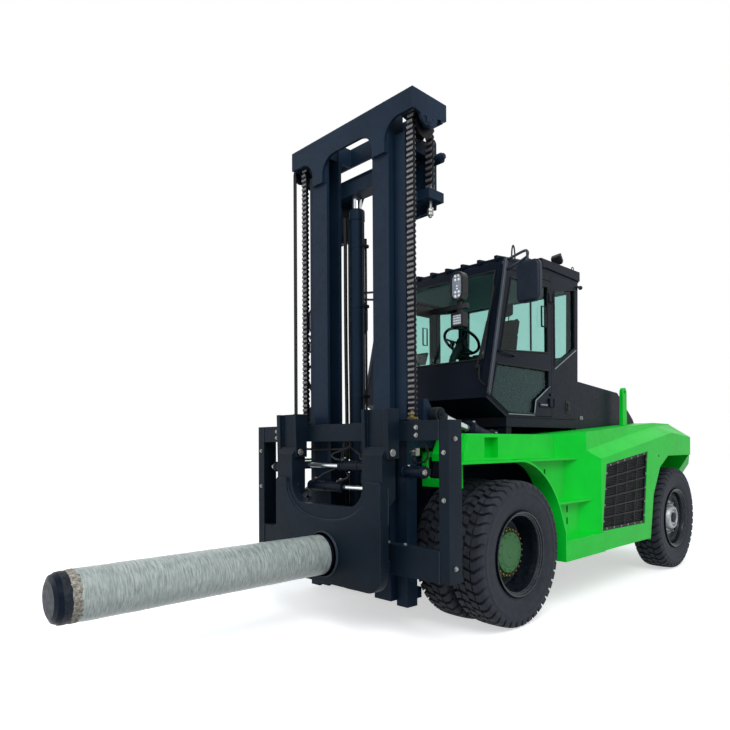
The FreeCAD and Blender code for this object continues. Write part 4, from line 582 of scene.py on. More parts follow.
def sleeve(points, sides, capped=True):
    """The shape of a row of rings, each of as many points."""
    last = len(points) - sides
    faces = []
    for near in range(0, last, sides):
        far = near + sides
        faces += [(near + k, near + (k + 1) % sides, far + (k + 1) % sides, far + k)
                  for k in range(sides)]
    caps = [tuple(range(sides)), tuple(range(last, last + sides))]
    return points, faces + caps if capped else faces


def smooth_path(corners, steps):
    """A soft curve through the given points."""
    spots = [Vector(c) for c in corners]
    spots = [spots[0]] + spots + [spots[-1]]
    curve = []
    for a, b, c, d in zip(spots, spots[1:], spots[2:], spots[3:]):
        for i in range(steps):
            t = i / steps
            curve.append(b + (c - a) * (t / 2) + (2 * a - 5 * b + 4 * c - d) * (t * t / 2)
                         + (3 * b - a - 3 * c + d) * (t ** 3 / 2))
    return curve + [spots[-1]]


def tube(corners, radius, sides=10, soft=5):
    """A round hose or bar along a path, with closed ends."""
    path = smooth_path(corners, soft) if soft else [Vector(c) for c in corners]
    points, across = [], None
    last = len(path) - 1
    for i, spot in enumerate(path):
        ahead = (path[min(i + 1, last)] - path[max(i - 1, 0)]).normalized()
        across = across or ahead.orthogonal()
        across = (across - ahead * across.dot(ahead)).normalized()
        other = ahead.cross(across)
        points += [spot + (across * c + other * s) * radius for c, s in circle(sides)]
    return sleeve(points, sides)


def turned(profile, spot, along, sides=20):
    """A profile of (height, radius) turned about a direction at a spot, with closed ends."""
    along, spot = Vector(along).normalized(), Vector(spot)
    across = along.orthogonal().normalized()
    other = along.cross(across)
    return sleeve([spot + along * height + (across * c + other * s) * radius
                   for height, radius in profile for c, s in circle(sides)], sides)


def bolt(spot, along, size):
    """A hexagon head on its washer, by the thread's diameter."""
    washer = [(0, size * 1.1), (size * 0.14, size * 1.1), (size * 0.16, size)]
    head = [(0, size * 0.88), (size * 0.72, size * 0.88), (size * 0.82, size * 0.76)]
    return gather([turned(washer, spot, along, 16), turned(head, spot, along, 6)])


# %% Flat shapes and boxes
def slab(axis, outline, low, high):
    """A flat outline of (u, v) points with a thickness along X, Y or Z (0, 1 or 2)."""
    points = []
    for end in (low, high):
        for spot in outline:
            point = list(spot)
            point.insert(axis, end)
            points.append(tuple(point))
    count = len(outline)
    faces = [tuple(range(count)), tuple(range(count, 2 * count))]
    return points, faces + [(i, (i + 1) % count, count + (i + 1) % count, count + i)
                            for i in range(count)]


def bar(centre, radius, low, high, sides=6):
    """A bar along X with as many corners."""
    return slab(0, [(centre[0] + radius * c, centre[1] + radius * s) for c, s in circle(sides)],
                low, high)


def cuboid(low, high):
    """A box from its two corners."""
    points = [(x, y, z) for x in (low[0], high[0]) for y in (low[1], high[1])
              for z in (low[2], high[2])]
    return points, [(0, 1, 3, 2), (4, 6, 7, 5), (0, 4, 5, 1),
                    (2, 3, 7, 6), (0, 2, 6, 4), (1, 5, 7, 3)]


def bevelled(shape, edge, segments=2):
    """A shape whose sharp edges are rounded off."""
    def soften(work):
        sharp = [e for e in work.edges if len(e.link_faces) == 2 and e.calc_face_angle() > 0.5]
        bmesh.ops.bevel(work, geom=sharp, offset=edge, segments=segments, affect="EDGES",
                        clamp_overlap=True)
    return edited(shape, soften)


def soft_box(low, high, edge=0.004):
    """A box with rounded edges."""
    return bevelled(cuboid(low, high), edge)


def rounded(low, high, radius, steps=5):
    """The outline of a rectangle with round corners."""
    (u0, v0), (u1, v1) = low, high
    outline = []
    for cu, cv, start in ((u1 - radius, v0 + radius, -90), (u1 - radius, v1 - radius, 0),
                          (u0 + radius, v1 - radius, 90), (u0 + radius, v0 + radius, 180)):
        for i in range(steps + 1):
            angle = math.radians(start + 90 * i / steps)
            outline.append((cu + radius * math.cos(angle), cv + radius * math.sin(angle)))
    return outline


def leaned(shape, middle, turn):
    """A shape made about the origin, turned and set down."""
    return [middle + turn @ Vector(p) for p in shape[0]], shape[1]


def mirror(shape):
    """The right-hand twin of a left-hand shape."""
    return [(-x, y, z) for x, y, z in shape[0]], [tuple(reversed(face)) for face in shape[1]]


def twin(*parts):
    """Shapes with their mirror image across the truck's middle."""
    shape = gather(parts)
    return gather([shape, mirror(shape)])


# %% [markdown]
# ## Repeated things
# Lugs, links and wires are modelled once. A small Geometry Nodes group repeats them in a ring or
# along a line, and its result is kept as a plain mesh.

# %% Repeating with Geometry Nodes
def repeat_tree(name, ring):
    """A node group that repeats its mesh in a ring about X, or along a straight line."""
    tree = bpy.data.node_groups.new(name, "GeometryNodeTree")
    face = tree.interface
    face.new_socket("Geometry", in_out="OUTPUT", socket_type="NodeSocketGeometry")
    kinds = {"Geometry": "Geometry", "Count": "Int", "Start": "Vector", "Finish": "Material",
             "Step": "Float" if ring else "Vector"}
    sockets = {label: face.new_socket(label, in_out="INPUT", socket_type=f"NodeSocket{kind}")
               for label, kind in kinds.items()}
    given = add(tree, "NodeGroupInput").outputs
    spots = add(tree, "GeometryNodeMeshLine", {
        "Count": given["Count"], "Start Location": given["Start"],
        "Offset": (0, 0, 0) if ring else given["Step"]})
    copies = add(tree, "GeometryNodeInstanceOnPoints", {
        "Points": spots.outputs["Mesh"], "Instance": given["Geometry"]})
    if ring:
        index = add(tree, "GeometryNodeInputIndex").outputs["Index"]
        angle = add(tree, "ShaderNodeMath", {0: index, 1: given["Step"]}, operation="MULTIPLY")
        fill(tree, copies, {"Rotation": add(tree, "ShaderNodeCombineXYZ", {"X": angle}).outputs[0]})
    solid = add(tree, "GeometryNodeRealizeInstances", {"Geometry": copies.outputs["Instances"]})
    painted = add(tree, "GeometryNodeSetMaterial", {
        "Geometry": solid.outputs["Geometry"], "Material": given["Finish"]})
    add(tree, "NodeGroupOutput", {"Geometry": painted.outputs["Geometry"]})
    return tree, {label: item.identifier for label, item in sockets.items()}


# %% Repeating a shape
RING, RUN = repeat_tree("ring of copies", True), repeat_tree("run of copies", False)


def solved(piece):
    """The plain mesh of an object with its modifiers applied."""
    bpy.context.view_layer.update()
    graph = bpy.context.evaluated_depsgraph_get()
    return bpy.data.meshes.new_from_object(piece.evaluated_get(graph))


def repeated(shape, kind, finish, count, start, step):
    """A shape repeated count times by a node group."""
    holder = bpy.data.objects.new("unit", to_mesh(shape, "unit"))
    scene.collection.objects.link(holder)
    tree, names = kind
    maker = holder.modifiers.new("repeat", "NODES")
    maker.node_group = tree
    for label, value in (("Count", count), ("Start", start), ("Step", step), ("Finish", finish)):
        maker[names[label]] = value
    mesh, unit = solved(holder), holder.data
    bpy.data.objects.remove(holder)
    bpy.data.meshes.remove(unit)
    return to_shape(mesh)


def ring(shape, centre, finish, count):
    """A shape that stands about the origin, repeated round a centre."""
    return repeated(shape, RING, finish, count, centre, 2 * math.pi / count)


def run(shape, start, step, finish, count):
    """A shape repeated count times along a step."""
    return repeated(shape, RUN, finish, count, start, step)


# %% [markdown]
# ## Tyres
# An industrial tyre of this size has about forty pitches round it. Each half of the tread is a
# deep S-shaped block that runs out over the shoulder, where it ends in short bars that clear mud.
# One pitch is modelled flat, as stations across the tread, then wrapped round the wheel. The
# carcass under it is a turned profile: bead, sidewall, its widest point, then the groove's floor.

# %% Tread and sidewall
TYRE_RADIUS, TYRE_WIDTH = (tyre_high.z - tyre_low.z) / 2, 0.315
PITCHES = 42
TREAD_TOP = [(0.004, 0.0), (0.03, 0.0), (0.058, 0.001), (0.066, 0.001), (0.095, 0.003),
             (0.12, 0.006), (0.137, 0.012), (0.148, 0.022), (0.154, 0.04), (0.1565, 0.064)]
TREAD_FLOOR = [(0.004, 0.026), (0.03, 0.026), (0.058, 0.026), (0.066, 0.026), (0.095, 0.027),
               (0.114, 0.03), (0.128, 0.036), (0.139, 0.045), (0.147, 0.055), (0.1535, 0.068)]
SIDEWALL = [(0.1555, 0.074), (0.156, 0.092), (0.1572, 0.094), (0.1572, 0.1), (0.156, 0.102),
            (0.1562, 0.14), (0.154, 0.17), (0.149, 0.2), (0.1405, 0.228), (0.136, 0.236),
            (0.1372, 0.24), (0.1345, 0.246), (0.124, 0.256), (0.118, 0.264), (0.118, 0.272)]
SWING = [0.0, 0.1, 0.24, 0.28, 0.3, 0.14, 0.0, -0.1, -0.12, -0.12]   # of a pitch
WIDTH = [0.38, 0.39, 0.38, 0.36, 0.38, 0.4, 0.41, 0.4, 0.38, 0.36]     # half a lug, of a pitch
BLOCKS = ((0, 3, 0.0), (3, 10, 0.004))     # first and last station, and the gap before it
SUNK, CHAMFER = 0.004, 0.86


# %% One tyre
def tread_lugs(side, shift):
    """The two blocks of one half of a pitch, on one side of the tyre."""
    pitch = 2 * math.pi / PITCHES
    points, faces = [], []
    for first, last, space in BLOCKS:
        base = len(points)
        for k in range(first, last):
            middle = pitch * (SWING[k] * side + shift)
            half = pitch * WIDTH[k]
            gap = space if k == first else 0.0
            low = (TREAD_FLOOR[k][0] + gap, TYRE_RADIUS - TREAD_FLOOR[k][1] - SUNK)
            top = (TREAD_TOP[k][0] + gap, TYRE_RADIUS - TREAD_TOP[k][1])
            for angle, (across, radius) in ((middle - half, low), (middle - half * CHAMFER, top),
                                            (middle + half * CHAMFER, top), (middle + half, low)):
                points.append((side * across, radius * math.cos(angle), radius * math.sin(angle)))
        end = base + 4 * (last - first - 1)
        faces += [(row + i, row + i + 1, row + 5 + i, row + 4 + i)
                  for row in range(base, end, 4) for i in range(3)]
        faces += [(base, base + 3, base + 2, base + 1), (end, end + 1, end + 2, end + 3)]
    return points, faces


def tyre(centre):
    """One tyre round a centre."""
    half = [(x, TYRE_RADIUS - drop) for x, drop in TREAD_FLOOR + SIDEWALL]
    carcass = lathe([(-x, r) for x, r in reversed(half)] + half, centre, steps=3 * PITCHES)
    pitch = gather([tread_lugs(1, 0.0), tread_lugs(-1, 0.5)])
    return gather([carcass, ring(pitch, centre, tyre_rubber, PITCHES)])


# %% Tyres on their wheels
def wheel_centres():
    """The centres of the tyres that each wheel body carries, read from the nodes' boxes."""
    found = {}
    for side, sign in SIDES.items():
        low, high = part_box(f"drive_tyres_{side}")
        inner, outer = sorted((abs(low.x), abs(high.x)))
        middle = (low.y + high.y) / 2
        found[f"drive_wheel_{side}"] = [(sign * x, middle, TYRE_RADIUS) for x in (
            inner + TYRE_WIDTH / 2, outer - TYRE_WIDTH / 2)]
        low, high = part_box(f"steer_tyre_{side}")
        found[f"steer_wheel_{side}"] = [((low.x + high.x) / 2, (low.y + high.y) / 2, TYRE_RADIUS)]
    return found


WHEELS = wheel_centres()
for body, centres in WHEELS.items():
    node = body.replace("wheel", "tyres" if "drive" in body else "tyre")
    rubber = to_mesh(gather([tyre(centre) for centre in centres]))
    place(f"{node}_tread", rubber, tyre_rubber, body, [node], smooth=40)
    print(node, len(centres), "tyres,", len(rubber.polygons), "faces")

# %% [markdown]
# ## Rims and hubs
# The rims are three-piece: a rolled base with a flange, and a loose ring and lock ring that hold
# the bead, which show as thin bright steps round the dish, their edges lit by painted highlights.
# The drive hubs hold planetary gears under a green cover with a ring of studs. The steered wheels
# are bolted to a silver hub.

# %% Rims
def rim(centre, side, disc, hole):
    """A rim that opens outward on one side, with its disc at an offset from the middle."""
    lip = [(0.142, 0.346), (0.147, 0.352), (0.151, 0.352), (0.1525, 0.347), (0.15, 0.34),
           (0.14, 0.338), (0.137, 0.333), (0.14, 0.329), (0.137, 0.325), (0.128, 0.324),
           (0.125, 0.318), (0.11, 0.312), (0.06, 0.306), (disc + 0.03, 0.3),
           (disc + 0.01, 0.288), (disc, 0.262), (disc, hole)]
    back = [(-0.142, 0.346), (-0.151, 0.35), (-0.15, 0.338), (-0.12, 0.326), (disc - 0.02, 0.318),
            (disc - 0.02, hole)]
    skin = [(0.142, 0.346), (-0.142, 0.346)]
    return gather([lathe([(side * x, r) for x, r in profile], centre)
                   for profile in (lip, back, skin)])


def ring_of_studs(centre, side, face, circle, count, length, nut, thread, finish):
    """Threaded studs with their nuts, on a circle of a hub's face."""
    points, faces = gather([bar((0, 0), nut, 0, length * 0.55), bar((0, 0), thread, 0, length, 8)])
    stud = [(side * (face + x), circle + y, z) for x, y, z in points], faces
    return ring(stud, centre, finish, count)


# %% Rims and hubs on their wheels
DRIVE_DISC, STEER_DISC = -0.06, 0.05
DRIVE_HUB = [(-0.05, 0.212), (0.046, 0.212), (0.05, 0.207), (0.05, 0.177), (0.088, 0.174),
             (0.096, 0.167), (0.096, 0.125), (0.1, 0.121), (0.1, 0.045), (0.104, 0.041),
             (0.104, 0.0)]
STEER_HUB = [(0, 0.205), (0.012, 0.2), (0.014, 0.15), (0.06, 0.138), (0.072, 0.126),
             (0.074, 0.108), (0.06, 0.104), (0.06, 0.0)]
for side, sign in SIDES.items():
    def dress(name, parts, finish, stands_for=()):
        place(name, to_mesh(gather(parts)), finish, body, stands_for, smooth=35)

    body = f"drive_wheel_{side}"
    inner, outer = WHEELS[body]
    dress(f"drive_rims_{side}_dish",
          [rim(outer, sign, DRIVE_DISC, 0.15), rim(inner, -sign, 0.02, 0.15)],
          rim_lacquer, [f"drive_rims_{side}"])
    hub = lathe([(sign * (DRIVE_DISC + x), r) for x, r in DRIVE_HUB], outer)
    dress(f"drive_hub_{side}", [hub, ring_of_studs(
        outer, sign, DRIVE_DISC + 0.096, 0.148, 12, 0.009, 0.008, 0.005, brass_stud)], hub_enamel)
    dress(f"drive_studs_{side}", [ring_of_studs(
        outer, sign, DRIVE_DISC + 0.05, 0.194, 24, 0.042, 0.0125, 0.008, brass_stud)], brass_stud)

    body = f"steer_wheel_{side}"
    centre = WHEELS[body][0]
    dress(f"steer_rim_{side}_dish", [rim(centre, sign, STEER_DISC, 0.1)], rim_lacquer,
          [f"steer_rim_{side}"])
    dress(f"steer_hub_{side}",
          [lathe([(sign * (STEER_DISC + x), r) for x, r in STEER_HUB], centre)],
          hub_silver)
    dress(f"steer_studs_{side}", [
        ring_of_studs(centre, sign, STEER_DISC + 0.012, 0.178, 10, 0.034, 0.016, 0.01, zinc_bolt),
        ring_of_studs(centre, sign, STEER_DISC + 0.06, 0.088, 8, 0.01, 0.008, 0.005, zinc_bolt)],
        zinc_bolt)
print("rims and hubs on", len(WHEELS), "wheels")

# %% [markdown]
# ## Leaf chains
# A lift truck hangs its carriage on leaf chain: stacks of flat steel links on pins, with no
# rollers. Links with waists are laced with others that reach to the next pin. The run from the
# sheave down to the carriage and the one to the fixed anchor change length as the mast rises;
# here each is left where it is made, on no body.

# %% Chains
LINK_PITCH, LINK_RADIUS, PIN_RADIUS = 0.04445, 0.0215, 0.009
LINK_PLATES = 9
CHAIN_WIDTH = 0.066
PLATE_STEP = CHAIN_WIDTH / LINK_PLATES


def link_plate(low, high, centre, across):
    """One waisted link plate in the YZ plane, from pin to pin."""
    outline = []
    for end, base in ((low, math.pi), (high, 0.0)):
        for i in range(7):
            angle = base + math.pi * i / 6
            outline.append((centre + LINK_RADIUS * math.cos(angle),
                            end + LINK_RADIUS * math.sin(angle)))
    waist, third = LINK_RADIUS * 0.5, (high - low) / 3
    outline[7:7] = [(centre + waist, low + third), (centre + waist, high - third)]
    outline += [(centre - waist, high - third), (centre - waist, low + third)]
    return slab(0, outline, across, across + PLATE_STEP * 0.88)


def link_pin(across, y, z):
    """A pin whose ends show at both sides of the links."""
    return bar((y, z), PIN_RADIUS, across - CHAIN_WIDTH / 2 - 0.004,
               across + CHAIN_WIDTH / 2 + 0.004, 10)


def chain_pitch(across, centre):
    """Two pins' worth of chain that starts at z = 0, about a line at (across, centre)."""
    left = across - CHAIN_WIDTH / 2
    parts = []
    for i in range(LINK_PLATES):
        low = i % 2 * LINK_PITCH
        parts.append(link_plate(low, low + LINK_PITCH, centre, left + PLATE_STEP * (i + 0.06)))
    return gather(parts + [link_pin(across, centre, z) for z in (0.0, LINK_PITCH)])


# %% Chain runs
def chain_run(node, sign):
    """A straight run of chain in the place of one solid of a chain node."""
    low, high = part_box(node)
    across = sign * (high.x - CHAIN_WIDTH / 2)
    centre = (low.y + high.y) / 2
    count = int((high.z - low.z) / (2 * LINK_PITCH))
    step = (high.z - low.z) / count
    return run(chain_pitch(across, centre), (0, 0, low.z), (0, 0, step), chain_steel, count)


def mark_painted_shade_depth(mesh, height_of):
    """Stores how far each point stands out of the chain, so that painted shade can darken its
    waists.
    """
    values = mesh.attributes.new("wear_and_painted_light", "FLOAT", "POINT")
    for point, value in zip(mesh.vertices, values.data):
        value.value = min(height_of(point.co) / LINK_RADIUS, 1.0)


for node, held in (("chain_rear", "outer_mast"), ("chain_front", "carriage")):
    low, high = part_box(node)
    links = to_mesh(gather([chain_run(node, sign) for sign in (1, -1)]))
    middle = (low.y + high.y) / 2
    mark_painted_shade_depth(links, lambda p, middle=middle: abs(p.y - middle))
    place(f"{node}_links", links, chain_steel, "inner_mast", [node], smooth=30,
          across=(held, (0, middle, low.z), (0, middle, high.z)))
    print(node, len(links.polygons), "faces")

# %% [markdown]
# ## The mast's fittings
# The chains turn over the sheaves as half circles of the same links. Each ends in a threaded
# anchor with two nuts. Steel pipes run up the lift cylinders to their glands, held by clamps, and
# the carriage's oil comes by twin hoses over a pulley at the far side of the head. From here on Y
# counts from the drive axle, and most fittings are made for the left and mirrored.

# %% Fitting pieces
def from_axle(shape):
    """Moves a shape whose Y counts from the drive axle into the frame."""
    return [(p[0], p[1] + AXLE_Y, p[2]) for p in shape[0]], shape[1]


def fit(name, finish, body, *parts, sign=1, smooth=35, **more):
    """Joins shapes given from the drive axle into one piece and puts it on its body."""
    shape = gather(parts)
    mesh = to_mesh(from_axle(mirror(shape) if sign < 0 else shape))
    piece = place(name, mesh, finish, body, smooth=smooth, **more)
    print(name, len(mesh.polygons), "faces")
    return piece


def middle_y(node):
    """The middle of a node's box, counted from the axle."""
    low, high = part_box(node)
    return (low.y + high.y) / 2 - AXLE_Y


def cap(radius, height, hole, rise):
    """The profile of a round cap with a centre screw."""
    return [(0, radius), (height - 0.003, radius), (height, radius - 0.004), (height, hole),
            (rise, hole - 0.002)]


# %% Chain arcs and anchors
sheave_low, sheave_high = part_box("mast_sheaves")
SHEAVE_Y, SHEAVE_Z = middle_y("mast_sheaves"), (sheave_low.z + sheave_high.z) / 2
CHAIN_X = sheave_high.x - 0.041
FRONT_CHAIN_Y, REAR_CHAIN_Y = middle_y("chain_front"), middle_y("chain_rear")
FRONT_ANCHOR_Z, REAR_ANCHOR_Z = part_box("chain_front")[0].z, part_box("chain_rear")[0].z - 0.08
WRAP = abs(FRONT_CHAIN_Y - SHEAVE_Y)


def chain_arc():
    """The links that lie over a sheave, laced as in the straight runs."""
    links = round(math.pi * WRAP / LINK_PITCH)
    parts = []
    for k in range(links):
        middle = math.pi * (k + 0.5) / links
        outward = Vector((0, math.cos(middle), math.sin(middle)))
        along = Vector((0, -math.sin(middle), math.cos(middle)))
        centre = Vector((0, SHEAVE_Y, SHEAVE_Z)) + outward * WRAP
        for i in range(k % 2, LINK_PLATES, 2):
            left = CHAIN_X - CHAIN_WIDTH / 2 + PLATE_STEP * (i + 0.06)
            points, faces = link_plate(-LINK_PITCH / 2, LINK_PITCH / 2, 0.0, left)
            parts.append(([Vector((x, 0, 0)) + centre + outward * y + along * z
                           for x, y, z in points], faces))
        pin = centre + along * (LINK_PITCH / 2)
        parts.append(link_pin(CHAIN_X, pin.y, pin.z))
    return gather(parts)


def anchor(y, low, high, start, lead, plate_low, plate_high, half):
    """A chain's threaded anchor: the rod, two nuts and the plate that it hangs from."""
    long = high - low
    rod = turned([(0, 0.016), (long, 0.016), (long + 0.004, 0.013)], (CHAIN_X, y, start), lead, 14)
    nuts = [turned([(at, 0.028), (at + 0.022, 0.028), (at + 0.025, 0.024)], (CHAIN_X, y, start),
                   lead, 6)
            for at in (long - 0.065, long - 0.036)]
    return twin(rod, *nuts, soft_box((CHAIN_X - half[0], y - half[1], plate_low),
                                     (CHAIN_X + half[0], y + half[1], plate_high)))


arcs = fit("chain_arcs", chain_steel, "inner_mast", twin(chain_arc()), smooth=30)
mark_painted_shade_depth(arcs.data, lambda p: abs(math.hypot(p.y - AXLE_Y - SHEAVE_Y, p.z - SHEAVE_Z) - WRAP))
z = REAR_ANCHOR_Z
fit("rear_anchors", zinc_bolt, "outer_mast", anchor(
    REAR_CHAIN_Y, z - 0.13, z + 0.02, z + 0.02, (0, 0, -1), z + 0.078, z + 0.125, (0.03, 0.022)))
fit("anchor_bosses", mast_enamel, "outer_mast",
    twin(bolt((CHAIN_X + 0.052, -0.44, z + 0.39), OUT, 0.03)))
z = FRONT_ANCHOR_Z
fit("front_anchors", brass_stud, "carriage", anchor(
    FRONT_CHAIN_Y, z - 0.01, z + 0.075, z - 0.01, UP, z - 0.002, z + 0.022, (0.036, 0.03)))

# %% Pipes and glands of the mast
barrel_low, barrel_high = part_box("lift_barrels")
LIFT_RADIUS, AROUND_LIFT = 0.068, 0.0681     # a barrel, and what grips it
LIFT_X, LIFT_Y, LIFT_TOP = barrel_high.x - LIFT_RADIUS, middle_y("lift_barrels"), barrel_high.z
CLAMP_HEIGHTS = (1.12, 1.96, 2.8, 3.36)
gland = turned([(-0.1, AROUND_LIFT), (-0.098, 0.074), (-0.012, 0.074), (-0.004, 0.07), (0.0, 0.062),
                (0.006, 0.058), (0.006, 0.046)], (LIFT_X, LIFT_Y, LIFT_TOP), UP, 32)
foot_ring = turned([(0, AROUND_LIFT), (0.002, 0.078), (0.06, 0.078), (0.064, AROUND_LIFT)],
                   (LIFT_X, LIFT_Y, barrel_low.z + 0.06), UP, 32)
bands = [turned([(0, AROUND_LIFT), (0.001, 0.0705), (0.03, 0.0705), (0.031, AROUND_LIFT)],
                (LIFT_X, LIFT_Y, z), UP, 32) for z in CLAMP_HEIGHTS]
pipes, clamps = [], []
for sign in (1, -1):
    for top, reach, back in ((3.6, 0.084, 0.0), (3.4, 0.073, 0.042)):
        x, y = sign * LIFT_X + reach, LIFT_Y + back
        pipes.append(tube([(sign * LIFT_X + 0.04, LIFT_Y, top), (x - 0.01, y, top),
                           (x, y, top - 0.04),
                           (x, y, 2.2), (x, y, 0.5), (x - 0.01, y + 0.01, 0.42),
                           (sign * 0.05 + reach / 4, y + 0.03, 0.4)], 0.011, 10, 4))
    for z in CLAMP_HEIGHTS:
        clamps += [soft_box((sign * LIFT_X + 0.062, LIFT_Y - 0.02, z),
                            (sign * LIFT_X + 0.102, LIFT_Y + 0.06, z + 0.03)),
                   bolt((sign * LIFT_X + 0.084, LIFT_Y - 0.02, z + 0.015), FORE, 0.01)]
for k in range(4):
    x, y = -0.275 - 0.022 * (k % 2), -0.628 + 0.028 * k
    pipes.append(tube([(x, y, 3.66), (x, y, 2.6), (x + 0.004, y + 0.006, 1.6), (x, y, 0.6),
                       (x + 0.05, y + 0.05, 0.46)], 0.014, 10, 5))
fit("lift_glands", mast_enamel, "outer_mast", twin(gland, foot_ring, *bands))
fit("mast_pipes", hose_rubber, "outer_mast", *pipes, smooth=50)
fit("pipe_clamps", cab_enamel, "outer_mast", *clamps)
# %% Rollers of the mast
roller_pins = []
for z in (0.46, 1.3, 3.3, 3.93):
    roller_pins.append(turned([(0, 0.052), (0.01, 0.052), (0.013, 0.048), (0.013, 0.02),
                               (0.009, 0.018)],
                              (0.62, -0.71, z), OUT, 28))
    roller_pins += [bolt((0.6205, -0.71 + 0.036 * math.cos(a), z + 0.036 * math.sin(a)), OUT, 0.009)
                    for a in (0.8, 0.8 + math.pi)]
fit("roller_pins", mast_enamel, "outer_mast", twin(*roller_pins))

# %% Head fittings and the hose pulley
HOSE, HOSE_APART, PULLEY_WRAP = 0.0095, 0.012, 0.066
PULLEY = (-0.815, -0.735, 4.19)
FRONT_HOSE, REAR_HOSE = PULLEY[1] - PULLEY_WRAP, PULLEY[1] + PULLEY_WRAP
SHEAVE_CAP = cap(0.04, 0.01, 0.012, 0.016)
head_parts = [turned(SHEAVE_CAP, (x, SHEAVE_Y, SHEAVE_Z), OUT, 28) for x in (0.787, 0.6415)]
head_parts += [bolt((0.787, SHEAVE_Y + 0.065 * math.cos(a), SHEAVE_Z + 0.045 * math.sin(a)),
                    OUT, 0.012)
               for a in (0.9, 2.3, 4.0)]
fit("sheave_caps", mast_enamel, "inner_mast", twin(*head_parts))
pulley = turned([(-0.022, 0.03), (-0.022, 0.07), (-0.018, 0.072), (-0.006, 0.056), (0.006, 0.056),
                 (0.018, 0.072), (0.022, 0.07), (0.022, 0.03)], PULLEY, OUT, 36)
fit("hose_pulley", cab_enamel, "inner_mast", pulley,
    soft_box((-0.794, -0.765, 4.15), (-0.786, -0.7, 4.3)),
    turned([(0, 0.016), (0.06, 0.016)], (-0.845, PULLEY[1], PULLEY[2]), OUT, 14))


def twin_hoses(name, body, route, soft, **more):
    """Two hoses side by side, whose route is given for each side of the pulley's middle line."""
    fit(name, hose_rubber, body, *[tube(route(PULLEY[0] + HOSE_APART * s, s), HOSE, 10, soft)
                                   for s in (-1, 1)], smooth=50, **more)


def falling_hoses(name, y, low, held):
    """Two hoses from the pulley down to another body, left where they are made."""
    twin_hoses(name, "inner_mast",
               lambda x, s: [(x, y, PULLEY[2]), (x, y, (PULLEY[2] + low) / 2), (x, y, low)],
               8, across=(held, (0, y + AXLE_Y, low), (0, y + AXLE_Y, PULLEY[2])))


twin_hoses("hose_turn", "inner_mast", lambda x, s: [
    (x, PULLEY[1] + PULLEY_WRAP * math.cos(math.pi * k / 8),
     PULLEY[2] + PULLEY_WRAP * math.sin(math.pi * k / 8)) for k in range(9)], 2)
falling_hoses("carriage_hoses", FRONT_HOSE, 1.66, "carriage")
falling_hoses("mast_hoses", REAR_HOSE, 2.3, "outer_mast")
twin_hoses("mast_hose_tails", "outer_mast", lambda x, s: [
    (x, REAR_HOSE, 2.31), (x, REAR_HOSE, 2.2), (-0.74, -0.648 + 0.01 * s, 2.06),
    (-0.63, -0.63, 2.0 + 0.012 * s), (-0.56 + 0.012 * s, -0.63, 1.93),
    (-0.56 + 0.012 * s, -0.632, 1.79)], 6)
fit("hose_clamp", cab_enamel, "outer_mast",
    soft_box((PULLEY[0] - 0.028, REAR_HOSE - 0.018, 2.27),
             (PULLEY[0] + 0.028, REAR_HOSE + 0.018, 2.33)),
    soft_box((-0.8, -0.69, 2.285), (-0.621, -0.665, 2.315)),
    soft_box((-0.595, -0.65, 1.74), (-0.525, -0.615, 1.8)))

# %% [markdown]
# ## The carriage's and the ram's fittings
# The ram plate is two plates welded together: the front one is cut out in a wide curve, so its
# edge and the weld bead along it show. Two cylinders between the arms push the plate sideways.
# The ram is wound in film from its root to a ragged end, where a black cover hides the nose.

# %% Front plate of the ram
PLATE_FRONT = -1.12
PLATE_HALF, PLATE_CORNER = 0.68, 0.15
PLATE_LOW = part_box("ram_plate")[0].z
CUP_HALF, CUP_TOP, CUP_DEPTH, CUP_STEPS = 0.52, 1.2, 0.307, 40


def curve_of_cup():
    """The wide curve cut out of the front plate, from its left horn to its right one."""
    spots = []
    for i in range(CUP_STEPS + 1):
        angle = math.pi * i / CUP_STEPS
        across, down = math.cos(angle), math.sin(angle)
        spots.append((-CUP_HALF * math.copysign(abs(across) ** 0.9, across),
                      CUP_TOP - CUP_DEPTH * down ** 0.9))
    return spots


cup = curve_of_cup()
corners = [(PLATE_HALF - PLATE_CORNER + PLATE_CORNER * math.sin(a),
            PLATE_LOW + PLATE_CORNER - PLATE_CORNER * math.cos(a))
           for a in (math.pi / 2 * (1 - i / 8) for i in range(9))]
horn = [(0.534, 1.236), (PLATE_HALF - 0.02, 1.236), (PLATE_HALF, 1.216)]
outline = ([(-CUP_HALF, 1.222)] + cup + [(CUP_HALF, 1.222)] + horn + corners
           + [(-x, z) for x, z in reversed(horn + corners)])
fit("ram_front_plate", shaded_carriage_enamel, "ram",
    bevelled(slab(1, outline, PLATE_FRONT - 0.022, PLATE_FRONT + 0.001), 0.004), smooth=30)
cup_bead = tube([(x, PLATE_FRONT - 0.002, z + 0.004) for x, z in cup], 0.007, 8, 1)
collar_weld = turned([(0.0, 0.186), (0.004, 0.197), (0.012, 0.193), (0.02, 0.1855)],
                     (0, PLATE_FRONT - 0.02, 0.609), FORE, 64)
arm_beads = [tube([(x, -1.052, 1.19), (x, -1.052, 0.9)], 0.006, 8, 1) for x in (0.462, 0.678)]
fit("ram_welds", weld_bead, "ram", cup_bead, collar_weld, twin(*arm_beads), smooth=60)
fit("hook_pins", zinc_bolt, "ram", *[
    turned([(0, 0.03), (0.008, 0.03), (0.011, 0.026), (0.011, 0.012), (0.018, 0.011)],
           (x, -1.045, 1.465), (along, 0, 0), 24)
    for x, along in ((0.7225, 1), (0.4315, -1), (-0.4315, 1), (-0.7225, -1))])

# %% Film on the ram
film_low, film_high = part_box("ram_wrap")
RAM_Z = (film_low.z + film_high.z) / 2
FILM_START, FILM_END = film_high.y - AXLE_Y, film_low.y - AXLE_Y - 0.045
FILM_RADIUS, LAYER_WIDTH, LAYER_STEP = 0.165, 0.085, 0.0016


